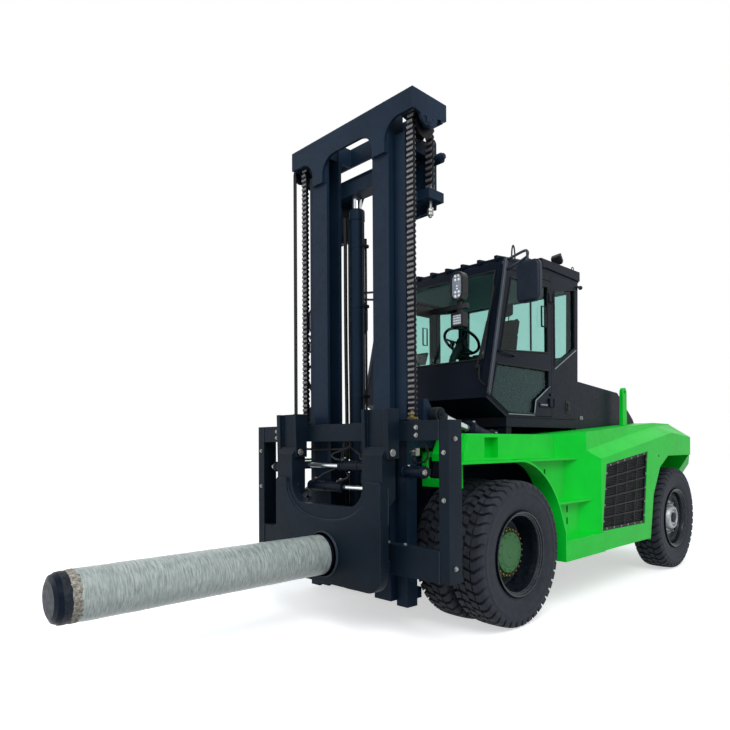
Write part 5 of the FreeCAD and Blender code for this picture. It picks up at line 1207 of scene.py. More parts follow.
def lumpy(c, s, size, y, depth):
    """A bump's height at a point round the ram, with lumps in as many per metre."""
    return noise.noise((c * size, y, s * size)) * depth


def round_ram(name, finish, start, end, rows, around, spot_of, **more):
    """A sleeve round the ram, whose radius and shift along it come from spot_of."""
    points = []
    for i in range(rows + 1):
        y = start + (end - start) * (i / rows)
        for k, (c, s) in enumerate(circle(around)):
            radius, shift = spot_of(i / rows, y, k / around, c, s)
            points.append((c * radius, y + shift, RAM_Z + s * radius))
    fit(name, finish, "ram", sleeve(points, around, capped=False), smooth=60, **more)


def wound(share, y, turn, c, s):
    """The small steps of the film's winding, creases across it and a ragged end."""
    layer = (y / LAYER_WIDTH + turn) % 1.0
    end = max(0.0, (share - 0.965) / 0.035)
    radius = (FILM_RADIUS + LAYER_STEP * min(layer * 8, 1.0) + lumpy(c, s, 2.2, y * 34, 0.0016)
              + lumpy(c, s, 4, y * 7, 0.0012) + lumpy(c, s, 9, y * 22 + 5, 0.006) * end
              - 0.003 * end)
    return radius, lumpy(c, s, 3, 1.7, 0.02) * end


def crumpled(radius, swell, folds):
    """A band that is drawn up into many small folds."""
    def spot_of(share, y, turn, c, s):
        fold = lumpy(c, s, folds, y * 30, 1)
        grow = swell * math.sin(math.pi * min(max(share, 0.06), 0.94)) * (0.6 + 0.8 * fold)
        return radius + grow, lumpy(c, s, folds * 0.6, 4.2, 0.006)
    return spot_of


round_ram("ram_film", film_wrap, FILM_START, FILM_END, 210, 112, wound, stands_for=["ram_wrap"])
round_ram("ram_paper_edge", beige_wrap, FILM_END + 0.014, FILM_END - 0.05, 20, 120,
          crumpled(0.1605, 0.009, 9))
round_ram("ram_nose_cover", black_cover, FILM_END - 0.042, -3.246, 22, 120,
          crumpled(0.1602, 0.0035, 4))

# %% Side-shift cylinders
BARREL = 0.048
shift_bands, shift_ports, shift_bolts, shift_hoses = [], [], [], []
for z, sign in ((1.345, 1), (1.16, -1)):
    near, far = sign * -0.02, sign * 0.44
    for at, wide in ((near, 0.004), (near + sign * 0.03, 0.002), (sign * 0.2, 0.003),
                     (far - sign * 0.04, 0.004)):
        shift_bands.append(turned([(0, BARREL + 0.0002), (0.001, BARREL + wide),
                                   (0.024, BARREL + wide),
                                   (0.025, BARREL + 0.0002)], (at, -0.915, z), (sign, 0, 0), 32))
    for at in (near + sign * 0.05, far - sign * 0.07):
        shift_ports.append(soft_box((at - 0.018, -0.935, z + 0.04),
                                    (at + 0.018, -0.895, z + 0.066)))
        shift_bolts += [bolt((at, -0.915, z + 0.066), UP, 0.014),
                        turned([(0, 0.01), (0.022, 0.01)], (at, -0.934, z + 0.054), FORE, 12)]
        shift_hoses.append(tube([
            (at, -0.95, z + 0.054), (at - sign * 0.03, -0.972, z + 0.058),
            (at - sign * 0.09, -0.966, z + 0.07), (at - sign * 0.13, -0.94, z + 0.105),
            (sign * 0.06, -0.875, z + 0.19 - 0.02 * sign), (sign * 0.03, -0.86, 1.6)],
            0.009, 10, 6))
fit("shift_bands", cab_enamel, "carriage", *shift_bands)
fit("shift_ports", cast_iron, "carriage", *shift_ports)
fit("shift_fittings", zinc_bolt, "carriage", *shift_bolts)
fit("shift_hoses", hose_rubber, "carriage", *shift_hoses, smooth=50)
fit("side_cylinders", cab_enamel, "ram", twin(
    turned([(0, 0.034), (0.004, 0.046), (0.235, 0.046), (0.24, 0.04)],
           (0.7235, -0.93, 1.318), OUT, 28),
    *[turned([(0, 0.05), (0.022, 0.05)], (x, -0.93, 1.318), OUT, 28) for x in (0.735, 0.925)],
    soft_box((0.955, -0.955, 1.29), (0.99, -0.905, 1.346))))
fit("side_cylinder_bolts", zinc_bolt, "ram", twin(
    bolt((0.973, -0.955, 1.318), FORE, 0.02), bolt((0.8, -0.945, 1.362), UP, 0.014)))

# %% Carriage bolts, stops and welds
fit("carriage_bolts", zinc_bolt, "carriage", twin(*[bolt(spot, along, 0.017) for spot, along in (
    ((0.745, -0.93, 0.7455), UP), ((0.565, -0.93, 0.7455), UP), ((1.2155, -0.9, 1.57), OUT),
    ((1.2155, -0.9, 0.62), OUT), ((1.166, -0.9705, 1.47), FORE), ((1.166, -0.9705, 1.12), FORE),
    ((0.9, -0.9705, 1.66), FORE), ((0.9, -0.9705, 1.6), FORE))]))
fit("carriage_welds", weld_bead, "carriage", twin(*[tube(ends, 0.005, 8, 1) for ends in (
    [(1.1195, -0.9715, 1.56), (1.1195, -0.9715, 1.71)],
    [(1.1195, -0.9715, 0.51), (1.1195, -0.9715, 0.745)],
    [(1.1195, -0.885, 1.5585), (1.1195, -0.945, 1.5585)])]), smooth=60)
fit("hose_block", zinc_bolt, "carriage", twin(
    soft_box((0.735, -0.85, 1.44), (0.79, -0.8, 1.5)),
    soft_box((0.745, -0.884, 1.47), (0.785, -0.845, 1.485))))
fit("carriage_cross_hoses", hose_rubber, "carriage",
    tube([(0.762, -0.825, 1.46), (0.76, -0.85, 1.4), (0.82, -0.872, 1.385), (0.9, -0.872, 1.4),
          (0.93, -0.87, 1.45), (0.9, -0.862, 1.52), (0.84, -0.87, 1.555)], 0.009, 10, 6),
    tube([(PULLEY[0], FRONT_HOSE, 1.668), (PULLEY[0] + 0.01, FRONT_HOSE, 1.56), (-0.7, -0.862, 1.5),
          (-0.4, -0.872, 1.49), (0.0, -0.872, 1.5), (0.05, -0.868, 1.58)], 0.01, 10, 6), smooth=50)

# %% [markdown]
# ## Tilt cylinders
# Each rod is hard chrome up to its forged eye, which is painted black with the barrel. The barrel
# has a screwed gland at its mouth, and two ports whose hoses run back under the cab.

# %% The cylinders' line
TAIL, EYE_AT = Vector((0.8, 0.38, 1.5)), Vector((0.8, -0.6, 1.77))
ROD_WAY, ROD_LONG = (EYE_AT - TAIL).normalized(), (EYE_AT - TAIL).length
EYE_HALF, EYE_BORE, EYE_RADIUS = 0.04, 0.036, 0.062
AROUND_TILT = 0.0702       # what grips a tilt barrel of 0.07
eye_profile = [(-EYE_HALF, EYE_BORE), (-EYE_HALF, EYE_RADIUS - 0.004),
               (-EYE_HALF + 0.004, EYE_RADIUS),
               (EYE_HALF - 0.004, EYE_RADIUS), (EYE_HALF, EYE_RADIUS - 0.004), (EYE_HALF, EYE_BORE),
               (-EYE_HALF, EYE_BORE)]


def on_rod(profile, sides=40):
    """A profile turned about the cylinder's line, from its tail."""
    return turned(profile, TAIL, ROD_WAY, sides)


# %% Tilt cylinders on both sides
for side, sign in SIDES.items():
    rod, barrel = f"tilt_rod_{side}", f"tilt_barrel_{side}"
    fit(f"{rod}_chrome", hard_chrome, rod, on_rod([
        (0.32, 0.0378), (ROD_LONG - 0.085, 0.0378), (ROD_LONG - 0.082, 0.03)]),
        sign=sign, stands_for=[rod])
    fit(f"tilt_eye_{side}", cast_iron, rod, lathe(eye_profile, EYE_AT, steps=40), on_rod([
        (ROD_LONG - 0.095, 0.04), (ROD_LONG - 0.09, 0.044), (ROD_LONG - 0.055, 0.044),
        (ROD_LONG - 0.045, 0.036)], 28),
        soft_box((0.775, -0.565, 1.8), (0.825, -0.53, 1.818), 0.003),
        sign=sign)
    rings = [on_rod([(at, AROUND_TILT), (at + 0.002, grow), (at + long, grow),
                     (at + long + 0.002, AROUND_TILT)])
             for at, grow, long in ((0.535, 0.078, 0.055), (0.1, 0.074, 0.03),
                                    (0.49, 0.073, 0.012))]
    fit(f"tilt_gland_{side}", cab_enamel, barrel, *rings, on_rod([
        (0.6, 0.068), (0.604, 0.066), (0.604, 0.0385), (0.612, 0.0385)]), sign=sign)
    ports, fittings, hoses = [], [], []
    for at in (0.15, 0.5):
        spot = TAIL + ROD_WAY * at + Vector((0, 0.0, 0.068))
        ports.append(soft_box(spot - Vector((0.02, 0.02, 0.012)),
                              spot + Vector((0.02, 0.02, 0.018))))
        fittings += [bolt(spot + Vector((0, 0, 0.018)), UP, 0.016),
                     turned([(0, 0.012), (0.03, 0.012)], spot + Vector((-0.018, 0, 0.006)),
                            (-1, 0, 0), 12)]
        start = spot + Vector((-0.045, 0, 0.006))
        hoses.append(tube([start, start + Vector((-0.035, 0.02, -0.012)),
                           (0.7, spot.y + 0.1, 1.655),
                           (0.685, 0.32, 1.652), (0.68, 0.44, 1.65)], 0.011, 10, 6))
    fit(f"tilt_ports_{side}", cab_enamel, barrel, *ports, sign=sign)
    fit(f"tilt_fittings_{side}", zinc_bolt, barrel, *fittings, sign=sign)
    fit(f"tilt_hoses_{side}", hose_rubber, barrel, *hoses, sign=sign, smooth=50,
        across=("chassis", (0, 0.44 + AXLE_Y, 1.65), (0, 0.22 + AXLE_Y, 1.66)))
fit("tilt_eye_caps", cab_enamel, "outer_mast", twin(
    turned(cap(0.04, 0.009, 0.012, 0.018), (0.844, -0.6, 1.77), OUT, 28),
    bolt((0.8445, -0.6, 1.797), OUT, 0.008)))

# %% [markdown]
# ## The cab's trim
# Every pane sits in a black rubber seal, with a pale grey strip along the low edge of each door's
# lower window: a painted highlight on the seal. A grab tube runs up each front corner, the wiper
# lies parked beside it, and the mirrors hang from a bent loop of the same tube. The roof carries a
# lamp, an aerial loop and eyes.

# %% Window seals
SIDE_FACE = 0.78
SCREEN = [(0.695, 2.31), (0.695, 3.16), (-0.695, 3.16), (-0.695, 2.44), (-0.365, 2.31)]
UPPER = [(1.2, 2.455), (0.34, 2.4), (0.535, 3.11), (1.2, 3.13)]
LOWER = [(1.215, 2.275), (1.215, 2.105), (0.97, 1.945), (0.94, 1.823), (0.484, 1.823),
         (0.195, 1.97), (0.29, 2.275)]
QUARTER = [(1.77, 2.56), (1.335, 2.33), (1.335, 3.11), (1.77, 3.19)]
SLIDER_HANDLE = [(1.075, 2.713), (1.15, 2.713), (1.15, 2.916), (1.075, 2.916)]


def on_screen(x, z, ahead=0.0):
    """A spot on the cab's leaning front, or ahead of it."""
    return (x, 0.11 + 0.2385 * (z - 1.95) - ahead, z)


def on_side(outline, x=SIDE_FACE - 0.001):
    """An outline of (y, z) points set on the cab's side."""
    return [(x, y, z) for y, z in outline]


def seal(spots, radius=0.01):
    """A closed rubber strip through the given corners."""
    return tube(list(spots) + [spots[0]], radius, 8, 0)


def insert(outline):
    """A thin pale strip along the low edge of a window: a painted highlight on its seal."""
    return tube(on_side(outline, 0.783), 0.006, 8, 0)


# %% Windows and door fittings
fit("screen_seal", seal_rubber, "chassis", seal([on_screen(x, z) for x, z in SCREEN]),
    twin(seal(on_side(QUARTER))), smooth=50)
fit("quarter_seal_highlight", seal_highlight_strip, "chassis", twin(insert([(1.335, 2.3), (1.79, 2.54)])), smooth=50)
for side, sign in SIDES.items():
    body = f"door_{side}"
    fit(f"door_seals_{side}", seal_rubber, body, seal(on_side(UPPER)), seal(on_side(LOWER)),
        soft_box((0.763, 0.885, 2.45), (0.775, 0.905, 3.12), 0.002),
        seal(on_side(SLIDER_HANDLE, 0.785), 0.009), sign=sign, smooth=50)
    # Painted shade: a dark sheet inside each lower door window.
    fit(f"door_shade_sheet_{side}", painted_shade, body, slab(0, LOWER, 0.741, 0.751), sign=sign)
    fit(f"door_seal_highlight_{side}", seal_highlight_strip, body, insert(
        [(0.47, 1.81), (0.925, 1.81), (0.957, 1.957), (1.229, 2.112)]), sign=sign, smooth=50)
    hinges = [soft_box((0.779, 1.205, z - 0.045), (0.8, 1.27, z + 0.045)) for z in (1.945, 3.025)]
    fit(f"door_handles_{side}", cab_enamel, body,
        tube([(0.776, 0.3, 2.385), (0.806, 0.31, 2.385), (0.812, 0.36, 2.38), (0.812, 0.5, 2.366),
              (0.806, 0.55, 2.362), (0.776, 0.56, 2.362)], 0.009, 10, 4),
        soft_box((0.779, 1.02, 1.893), (0.789, 1.19, 1.943)),
        turned([(0, 0.016), (0.012, 0.016), (0.014, 0.013)], (0.779, 1.245, 2.03), OUT, 16),
        *hinges, sign=sign)
    fit(f"door_lever_{side}", zinc_bolt, body,
        soft_box((0.789, 1.03, 1.912), (0.8, 1.16, 1.926), 0.003), sign=sign)

# %% Grab tubes and wiper
fit("grab_tubes", satin_tube, "chassis", twin(tube([
    (0.772, 0.412, 3.215), (0.796, 0.411, 3.212), (0.802, 0.402, 3.18), (0.802, 0.15, 2.098),
    (0.802, 0.126, 2.004), (0.798, 0.128, 1.985), (0.772, 0.15, 1.985)], 0.019, 14, 4)), smooth=50)
fit("wiper", seal_rubber, "chassis",
    turned([(0, 0.026), (0.03, 0.022), (0.034, 0.012)], on_screen(0.655, 2.235, -0.004),
           (0, -1, 0.24), 18),
    tube([on_screen(0.655, 2.235, 0.03), on_screen(0.685, 2.42, 0.04),
          on_screen(0.705, 2.66, 0.036)], 0.008, 10, 3),
    tube([on_screen(0.68, 2.3, 0.022), on_screen(0.724, 3.0, 0.022)], 0.01, 8, 0),
    tube([on_screen(0.672, 2.24, 0.012), on_screen(0.7, 2.12, 0.024), on_screen(0.77, 2.06, 0.012)],
         0.007, 8, 4), smooth=50)

# %% Mirrors and lock plates
MIRROR_LOW, MIRROR_HIGH = Vector((0.984, 2.785)), Vector((1.214, 3.152))
MIRROR_RIM = Vector((0.014, 0.014))
fit("mirror_housings", mirror_shell, "chassis", twin(bevelled(
    slab(1, rounded(MIRROR_LOW, MIRROR_HIGH, 0.055, 8), 0.29, 0.364), 0.016, 3)),
    stands_for=["mirrors"])
fit("mirror_arms", satin_tube, "chassis", twin(
    tube([(0.775, 0.428, 3.247), (0.83, 0.425, 3.25), (1.03, 0.345, 3.256), (1.08, 0.325, 3.24),
          (1.085, 0.323, 3.205), (1.05, 0.335, 3.186), (0.83, 0.42, 3.156), (0.775, 0.428, 3.152)],
         0.0125, 12, 6),
    tube([(1.082, 0.324, 3.225), (1.09, 0.322, 3.13)], 0.012, 12, 0),
    soft_box((1.06, 0.3, 3.1), (1.12, 0.345, 3.165), 0.006)), smooth=50)
fit("mirror_faces", hard_chrome, "chassis", twin(slab(
    1, rounded(MIRROR_LOW + MIRROR_RIM, MIRROR_HIGH - MIRROR_RIM, 0.045, 8), 0.364, 0.367)))
fit("lock_plates", grained_plastic, "chassis", twin(
    bevelled(slab(0, rounded((1.56, 1.845), (1.64, 1.98), 0.018), 0.779, 0.785), 0.002),
    turned([(0, 0.024), (0.01, 0.024), (0.012, 0.02)], (0.784, 1.6, 1.895), OUT, 20),
    soft_box((0.784, 1.585, 1.925), (0.796, 1.615, 1.96), 0.003)))

# %% Roof fittings
ROOF_TOP = 3.403
LAMP_TURN = Matrix.Rotation(math.radians(38), 3, "X") @ Matrix.Rotation(math.radians(20), 3, "Z")


def loop(x, y, z, steps, radius, width, high, low):
    """A wire loop about a line along X, with its own reach up and down."""
    return tube([(x, y + width * c, z + (high if s > 0 else low) * s)
                 for c, s in circle(steps) + circle(steps)[:1]], radius, 8, 2)


lamp = [bevelled(cuboid((-0.055, -0.05, -0.05), (0.055, 0.04, 0.05)), 0.01)]
lamp += [cuboid((-0.052, 0.038, z - 0.003), (0.052, 0.06, z + 0.003))
         for z in (-0.036, -0.018, 0.0, 0.018, 0.036)]
fit("roof_fittings", grained_plastic, "chassis",
    loop(0.574, 0.9, 3.415, 14, 0.008, 0.03, 0.125, 0.02),
    *[loop(x, 1.737, 3.42, 10, 0.005, 0.02, 0.02, 0.02) for x in (0.78, -0.78)],
    turned([(0, 0.03), (0.01, 0.03), (0.012, 0.012), (0.105, 0.012)], (0.6, 1.75, ROOF_TOP - 0.004),
           UP, 16),
    turned([(0, 0.012), (0.05, 0.012)], (0.795, 1.822, 3.237), AFT, 12),
    turned([(0, 0.01), (0.006, 0.022), (0.024, 0.022), (0.03, 0.012)],
           (0.795, 1.866, 3.237), AFT, 18),
    leaned(gather(lamp), Vector((0.6, 1.735, 3.56)), LAMP_TURN), smooth=45)
fit("headliner", headliner, "chassis", soft_box((-0.68, 0.5, 3.178), (0.68, 1.74, 3.194)))
fit("roof_gutters", cab_enamel, "chassis", twin(
    tube([(0.787, 0.44, 3.262), (0.787, 1.08, 3.33), (0.797, 1.12, 3.3)], 0.008, 8, 0),
    soft_box((0.7, 1.868, 3.29), (0.78, 1.876, 3.38))))

# %% Lamps
LAMP_X, LAMP_FACE = 0.93, -0.492
BIG_DOME = [(0, 0.0135), (0.004, 0.012), (0.007, 0.006)]
MIDDLE_DOME = [(0, 0.009), (0.004, 0.008), (0.006, 0.004)]
SMALL_DOME = [(0, 0.0075), (0.003, 0.0065), (0.005, 0.003)]


def oval(centre, half, low, high, steps=10):
    """An upright slot shape with round ends."""
    top = [(centre + half * math.cos(a), high + half * math.sin(a))
           for a in (math.pi * k / steps for k in range(steps + 1))]
    return top + [(2 * centre - x, low + high - z) for x, z in top]


def lower_lamp(half, low, high, radius):
    """The outline of the square lamp."""
    return rounded((LAMP_X - half, low), (LAMP_X + half, high), radius)


fit("mast_lamp_lenses", white_lens, "outer_mast", twin(*[
    slab(1, outline, LAMP_FACE - 0.004, LAMP_FACE + 0.001)
    for outline in (oval(LAMP_X, 0.047, 2.758, 2.867), lower_lamp(0.045, 2.498, 2.583, 0.008))]))
domes = [(BIG_DOME, x, z, 12) for z in (2.895, 2.863, 2.762, 2.73) for x in (-0.018, 0.018)]
domes += [(MIDDLE_DOME, 0, z, 12) for z in (2.813, 2.79)]
domes += [(SMALL_DOME, 0.02 * i - 0.03, 2.511 + 0.02 * k, 8) for i in range(4) for k in range(4)]
fit("mast_lamp_domes", led, "outer_mast", twin(*[
    turned(profile, (LAMP_X + x, LAMP_FACE - 0.0035, z), FORE, sides)
    for profile, x, z, sides in domes]),
    smooth=60)
fit("mast_lamp_rims", lamp_housing, "outer_mast", twin(*[
    seal([(x, LAMP_FACE - 0.009, z) for x, z in outline], 0.005)
    for outline in (oval(LAMP_X, 0.053, 2.757, 2.868), lower_lamp(0.05, 2.493, 2.588, 0.01))]),
    smooth=60)

# %% Deck cover under the cab's nose
fit("deck_cover", seal_rubber, "chassis",
    soft_box((-0.705, -0.13, 1.6175), (0.705, 0.44, 1.632)),
    soft_box((-0.66, 0.02, 1.632), (-0.2, 0.4, 1.7), 0.01),
    soft_box((-0.1, 0.1, 1.632), (0.52, 0.4, 1.69), 0.01),
    *[tube([(x, 0.1, 1.715), (x, 0.04, 1.69), (x + 0.01, -0.03, 1.66), (x + 0.03, -0.11, 1.645)],
           0.012, 8)
      for x in (-0.52, -0.44, -0.36, 0.02, 0.1, 0.3)], smooth=45)

# %% [markdown]
# ## The driver's place
# The seat is foam under woven cloth. Its shell is inflated by the Cloth modifier's pressure, as
# real foam pushes its cover out between the seams, and the sewn channels are pressed in after.

# %% Cushions
VOXEL, SWELL = 0.012, 0.016
CHANNEL_WIDTH, CHANNEL_DEPTH = 0.009, 0.01
SETTLING_FRAMES, PRESSURE = 20, 4.0


def blown_up(shell):
    """The mesh of a shell after its cloth is inflated, each point moved no further than SWELL."""
    rest = [v.co.copy() for v in shell.data.vertices]
    cloth = shell.modifiers.new("stuffing", "CLOTH")
    cloth.settings.use_pressure = True
    cloth.settings.uniform_pressure_force = PRESSURE
    cloth.settings.effector_weights.gravity = 0.0
    cloth.point_cache.frame_start, cloth.point_cache.frame_end = 1, SETTLING_FRAMES
    for step in range(1, SETTLING_FRAMES + 1):
        scene.frame_set(step)
    blown = solved(shell)
    shell.modifiers.clear()
    for point, start in zip(blown.vertices, rest):
        move = point.co - start
        if move.length > SWELL:
            point.co = start + move * (SWELL / move.length)
    return blown


def stuffed(name, shape, channels):
    """A cushion: an even skin, blown up a little, with channels sewn across it."""
    shell = bpy.data.objects.new(name, to_mesh(from_axle(shape), name))
    scene.collection.objects.link(shell)
    voxels = shell.modifiers.new("even skin", "REMESH")
    voxels.mode, voxels.voxel_size = "VOXEL", VOXEL
    even = solved(shell)
    shell.modifiers.clear()
    shell.data = even
    shell.data = blown_up(shell)
    scene.frame_set(1)
    finer = shell.modifiers.new("softer", "SUBSURF")
    finer.levels = finer.render_levels = 1
    mesh = solved(shell)
    bpy.data.objects.remove(shell)
    normals = [v.normal.copy() for v in mesh.vertices]
    for point, normal in zip(mesh.vertices, normals):
        for axis, at in channels:
            gap = (point.co[axis] - at) / CHANNEL_WIDTH
            point.co -= normal * CHANNEL_DEPTH * math.exp(-gap * gap)
    piece = place(name, mesh, seat_cloth, "chassis", smooth=60)
    print(name, len(mesh.polygons), "faces")


# %% Seat
stuffed("seat_cushion", bevelled(cuboid((-0.235, 0.965, 2.27), (0.235, 1.465, 2.372)), 0.035, 3),
        [(0, -0.13), (0, 0.13), (1, 1.13 + AXLE_Y), (1, 1.27 + AXLE_Y)])
stuffed("seat_backrest", bevelled(slab(0, [
    (1.445, 2.4), (1.53, 2.392), (1.635, 2.96), (1.572, 2.968)], -0.225, 0.225), 0.026, 3),
    [(0, -0.13), (0, 0.13), (2, 2.58), (2, 2.76)])
stuffed("seat_headrest", bevelled(cuboid((-0.118, 1.58, 2.99), (0.118, 1.64, 3.15)), 0.022, 3),
        [(0, -0.09), (0, 0.09)])
bellows = []
for k in range(8):
    wide, deep, low = 0.165 + 0.025 * (k % 2), 0.02 * (k % 2), 1.842 + 0.052 * k
    bellows.append(soft_box((-wide, 1.05 - deep, low), (wide, 1.41 + deep, low + 0.052), 0.008))
fit("seat_frame", grained_plastic, "chassis", *bellows,
    soft_box((-0.35, 1.02, 2.5), (-0.27, 1.42, 2.545), 0.014),
    soft_box((-0.33, 1.36, 2.3), (-0.29, 1.41, 2.51)),
    tube([(-0.31, 1.05, 2.54), (-0.31, 1.04, 2.6), (-0.31, 1.03, 2.64)], 0.012, 10, 2),
    soft_box((-0.335, 1.005, 2.63), (-0.285, 1.055, 2.7), 0.014),
    *[tube([(x, 1.6, 2.93), (x, 1.608, 3.02)], 0.006, 8, 0) for x in (-0.06, 0.06)],
    slot="seat_cloth", stands_for=["seat"], smooth=45)

# %% Steering column and dashboard
WHEEL_AT, WHEEL_UP = Vector((0.1, 0.66, 2.6)), Vector((0, 0.6, 0.8)).normalized()
wheel_across = WHEEL_UP.orthogonal().normalized()
wheel_other = WHEEL_UP.cross(wheel_across)


def on_wheel(radius, angle, drop=0.0):
    """A spot of the steering wheel, or below it along its column."""
    return (WHEEL_AT + (wheel_across * math.cos(angle) + wheel_other * math.sin(angle)) * radius
            - WHEEL_UP * drop)


fit("driver_controls", grained_plastic, "chassis",
    tube([on_wheel(0.19, 2 * math.pi * k / 32) for k in range(33)], 0.015, 12, 1),
    *[tube([on_wheel(0.03, a, 0.03), on_wheel(0.11, a, 0.02), on_wheel(0.188, a)], 0.011, 8, 3)
      for a in (0.5, 2.6, 4.7)],
    turned([(-0.05, 0.05), (0.0, 0.05), (0.012, 0.042), (0.014, 0.0)], WHEEL_AT, WHEEL_UP, 24),
    tube([on_wheel(0, 0, 0.03), on_wheel(0, 0, 0.24), (0.1, 0.5, 2.3), (0.1, 0.5, 1.84)],
         0.036, 14, 4),
    soft_box((-0.05, 0.42, 1.84), (0.25, 0.58, 2.24), 0.012),
    soft_box((-0.715, 0.335, 2.2), (0.715, 0.52, 2.285), 0.02),
    soft_box((0.36, 0.44, 2.285), (0.62, 0.6, 2.4), 0.02),
    leaned(soft_box((-0.1, -0.01, -0.07), (0.1, 0.012, 0.07), 0.006), Vector((-0.34, 0.5, 2.44)),
           Matrix.Rotation(math.radians(-20), 3, "X")),
    tube([(-0.34, 0.48, 2.28), (-0.34, 0.49, 2.4)], 0.01, 10, 0),
    *[soft_box((x, 0.36, 1.845), (x + 0.09, 0.4, 1.99), 0.006) for x in (-0.22, 0.3)],
    slot="dash_plastic", stands_for=["dashboard"], smooth=45)

# %% [markdown]
# ## The body's fittings
# Woven wire stands behind the grille's bars and battery modules behind that. Bolts hold its
# frame. The counterweight has lamps, plugs and a towing jaw, and the hood latches and louvres.

# %% The slanted window
MESH_X, WIRE, OPENING = 1.196, 0.0022, 0.017    # a real 8 mm mesh would not show at this distance
LIP, BOLT_SPACING = 0.012, 0.16
grille_points = [v.co for v in nodes["grille_left"].data.vertices]


def window_corner(back, up):
    """A corner of the slanted window: the frame's furthest point that way."""
    found = max(grille_points, key=lambda p: back * p.y + up * p.z)
    return Vector((0, found.y - AXLE_Y - back * LIP, found.z - up * LIP))


WINDOW = [window_corner(*ways) for ways in ((-1, -1), (1, -1), (1, 1), (-1, 1))]
WINDOW_SIDES = list(zip(WINDOW, WINDOW[1:] + WINDOW[:1]))
WINDOW_MIDDLE = sum(WINDOW, Vector()) / 4
Y0, Y1 = min(p.y for p in WINDOW), max(p.y for p in WINDOW)
Z0, Z1 = min(p.z for p in WINDOW), max(p.z for p in WINDOW)


def trimmed(shape):
    """Cuts a shape to the slanted window."""
    def cut(work):
        for first, second in WINDOW_SIDES:
            outward = (second - first).cross(Vector(OUT)).normalized()
            outward = outward if outward.dot(first - WINDOW_MIDDLE) > 0 else -outward
            found = bmesh.ops.bisect_plane(work, geom=work.verts[:] + work.edges[:] + work.faces[:],
                                           plane_co=first, plane_no=outward, clear_outer=True)
            bmesh.ops.holes_fill(
                work, edges=[e for e in found["geom_cut"] if isinstance(e, bmesh.types.BMEdge)])
    return edited(shape, cut)


# %% Wires, lips and modules
uprights = run(cuboid((-WIRE, -WIRE, 0), (WIRE, WIRE, Z1 - Z0)), (MESH_X, Y0, Z0), (0, OPENING, 0),
               mesh_steel, int((Y1 - Y0) / OPENING))
levels = run(cuboid((-WIRE, 0, -WIRE), (WIRE, Y1 - Y0, WIRE)), (MESH_X + WIRE, Y0, Z0),
             (0, 0, OPENING),
             mesh_steel, int((Z1 - Z0) / OPENING))
lips, frame_bolts = [], []
for first, second in WINDOW_SIDES:
    inward = (WINDOW_MIDDLE - (first + second) / 2).normalized() * LIP
    lips.append(slab(0, [(p.y, p.z) for p in (first, second, second + inward, first + inward)],
                     1.15, 1.2055))
    count = round((second - first).length / BOLT_SPACING)
    for k in range(count):
        spot = first + (second - first) * ((k + 0.5) / count) + inward * 0.5
        frame_bolts.append(bolt((1.2145, spot.y, spot.z), OUT, 0.01))
modules = [trimmed(cuboid((0.975, Y0 - 0.1, Z0 - 0.1), (0.985, Y1 + 0.1, Z1 + 0.1)))]
third = (Y1 - Y0 - 0.06) / 3
for k, top in enumerate((Z1 - 0.1, Z1 - 0.1, Z1 - 0.03)):
    at = Y0 + 0.03 + third * k
    modules.append(soft_box((0.985, at + 0.02, Z0 + 0.03), (1.08, at + third - 0.02, top), 0.012))
    modules += [soft_box((1.08, at + 0.05, z), (1.095, at + third - 0.05, z + 0.03))
                for z in (Z0 + 0.12, (Z0 + Z1) / 2, top - 0.12)]
fit("grille_mesh", mesh_steel, "chassis", twin(trimmed(uprights), trimmed(levels)))
fit("grille_lips", mesh_steel, "chassis", twin(*lips))
fit("grille_bolts", zinc_bolt, "chassis", twin(*frame_bolts))
fit("battery_modules", battery_case, "chassis", twin(*modules))

# %% Pocket, latch, plates and the tail's fittings
fit("pocket_plates", green_enamel, "chassis", twin(
    cuboid((0.885, -0.2, 1.395), (0.89, 0.04, 1.594)),
    cuboid((0.89, 0.021, 1.412), (0.926, 0.026, 1.585)),
    cuboid((0.89, -0.186, 1.412), (0.926, -0.181, 1.585)),
    cuboid((0.89, -0.186, 1.406), (0.926, 0.026, 1.411))))
fit("hood_latches", zinc_bolt, "hood", twin(
    soft_box((0.744, 1.93, 1.79), (0.754, 2.0, 1.83)),
    turned([(0, 0.013), (0.008, 0.012)], (0.753, 1.965, 1.81), OUT, 16)))
fit("side_plates", grained_plastic, "chassis", twin(
    bevelled(slab(0, rounded((2.885, 1.345), (2.935, 1.415), 0.012), 1.212, 1.2185), 0.002),
    turned([(0, 0.013), (0.004, 0.012)], (1.2185, 2.91, 1.38), OUT, 16)))
TAIL_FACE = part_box("counterweight")[1].y - AXLE_Y
PIN_Y = TAIL_FACE + 0.028
LAMP_SPOTS = [(0.79 - 0.125 * k, TAIL_FACE - 0.002, 1.13) for k in range(3)]
fit("towing_jaw", cast_iron, "chassis", *[
    soft_box((x0, TAIL_FACE - 0.002, z0), (x1, TAIL_FACE + 0.05, z1), 0.008)
    for x0, x1, z0, z1 in ((-0.13, 0.13, 0.86, 0.905), (-0.13, 0.13, 0.6, 0.645),
                           (-0.13, -0.1, 0.62, 0.88), (0.1, 0.13, 0.62, 0.88))])
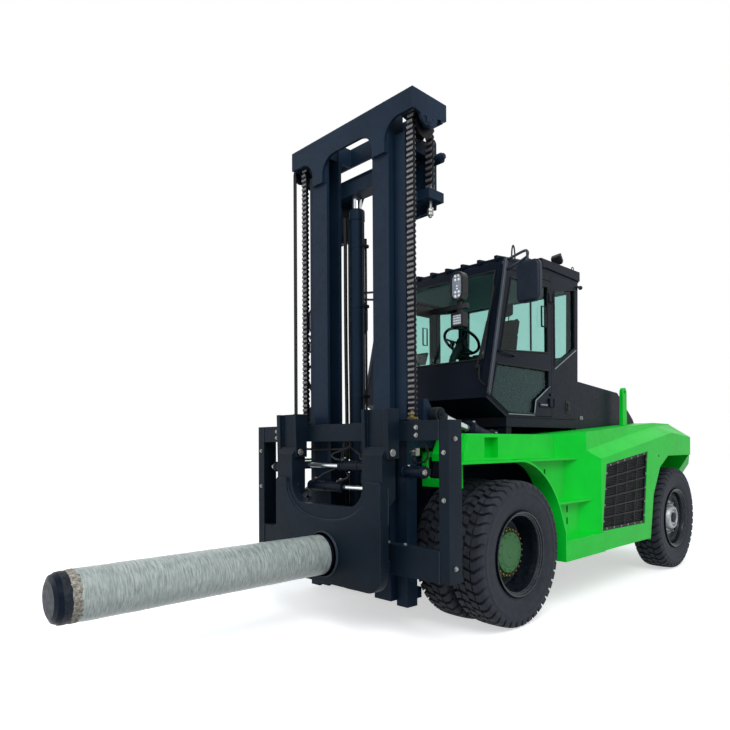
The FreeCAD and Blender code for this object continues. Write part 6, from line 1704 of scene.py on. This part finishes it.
fit("towing_pin", zinc_bolt, "chassis",
    turned([(0, 0.02), (0.34, 0.02)], (0, PIN_Y, 0.585), UP, 16),
    tube([(x, PIN_Y, z)
          for x, z in ((0, 0.92), (0.045, 0.95), (0, 0.985), (-0.045, 0.95), (0, 0.92))],
         0.007, 8, 4))
fit("tail_lamp_bodies", lamp_housing, "chassis", twin(*[
    turned([(0, 0.056), (0.022, 0.056), (0.026, 0.052), (0.026, 0.046)], spot, AFT, 28)
    for spot in LAMP_SPOTS]))
for label, glow, spot in zip(("red", "amber", "white"), (red_lens, amber_lens, white_lens),
                             LAMP_SPOTS):
    fit(f"tail_lamps_{label}", glow, "chassis", twin(
        turned([(0.02, 0.047), (0.03, 0.044), (0.037, 0.03), (0.04, 0.01)], spot, AFT, 28)),
        smooth=60)
fit("tail_plugs", green_enamel, "chassis", *[
    turned([(0, 0.03), (0.004, 0.03), (0.004, 0.022), (0.001, 0.02)], (x, TAIL_FACE - 0.001, z),
           AFT, 24)
    for x in (-0.45, 0.45) for z in (0.62, 0.95)])

# %% Louvres on the hood's slope
hood_points = [v.co for v in nodes["hood"].data.vertices]
slope_top = max((p for p in hood_points if p.z > 2.12), key=lambda p: p.y)
slope_foot = max((p for p in hood_points if 1.8 < p.z < 1.86), key=lambda p: p.y)
fall = Vector((0, slope_foot.y - slope_top.y, slope_foot.z - slope_top.z))
slope_start = Vector((0, slope_top.y - AXLE_Y, slope_top.z))
SLOPE_TURN = Matrix.Rotation(math.atan2(fall.z, fall.y), 3, "X")
points, faces = cuboid((-0.42, -0.014, 0.0), (0.42, 0.01, 0.004))
blade = [(x, y, z if y < 0 else z + 0.008) for x, y, z in points], faces
blades = [leaned(blade, slope_start + fall * (0.22 + 0.065 * k), SLOPE_TURN) for k in range(9)]
edge_bars = [leaned(soft_box((x - 0.012, 0.19 * fall.length, -0.001),
                             (x + 0.012, 0.79 * fall.length, 0.012),
                             0.003), slope_start, SLOPE_TURN) for x in (-0.43, 0.43)]
fit("hood_louvres", cab_enamel, "hood", *blades, *edge_bars)

# %% [markdown]
# ## Measure and finish
# The box of the dressed truck is measured.

# %% Finish
low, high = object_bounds()
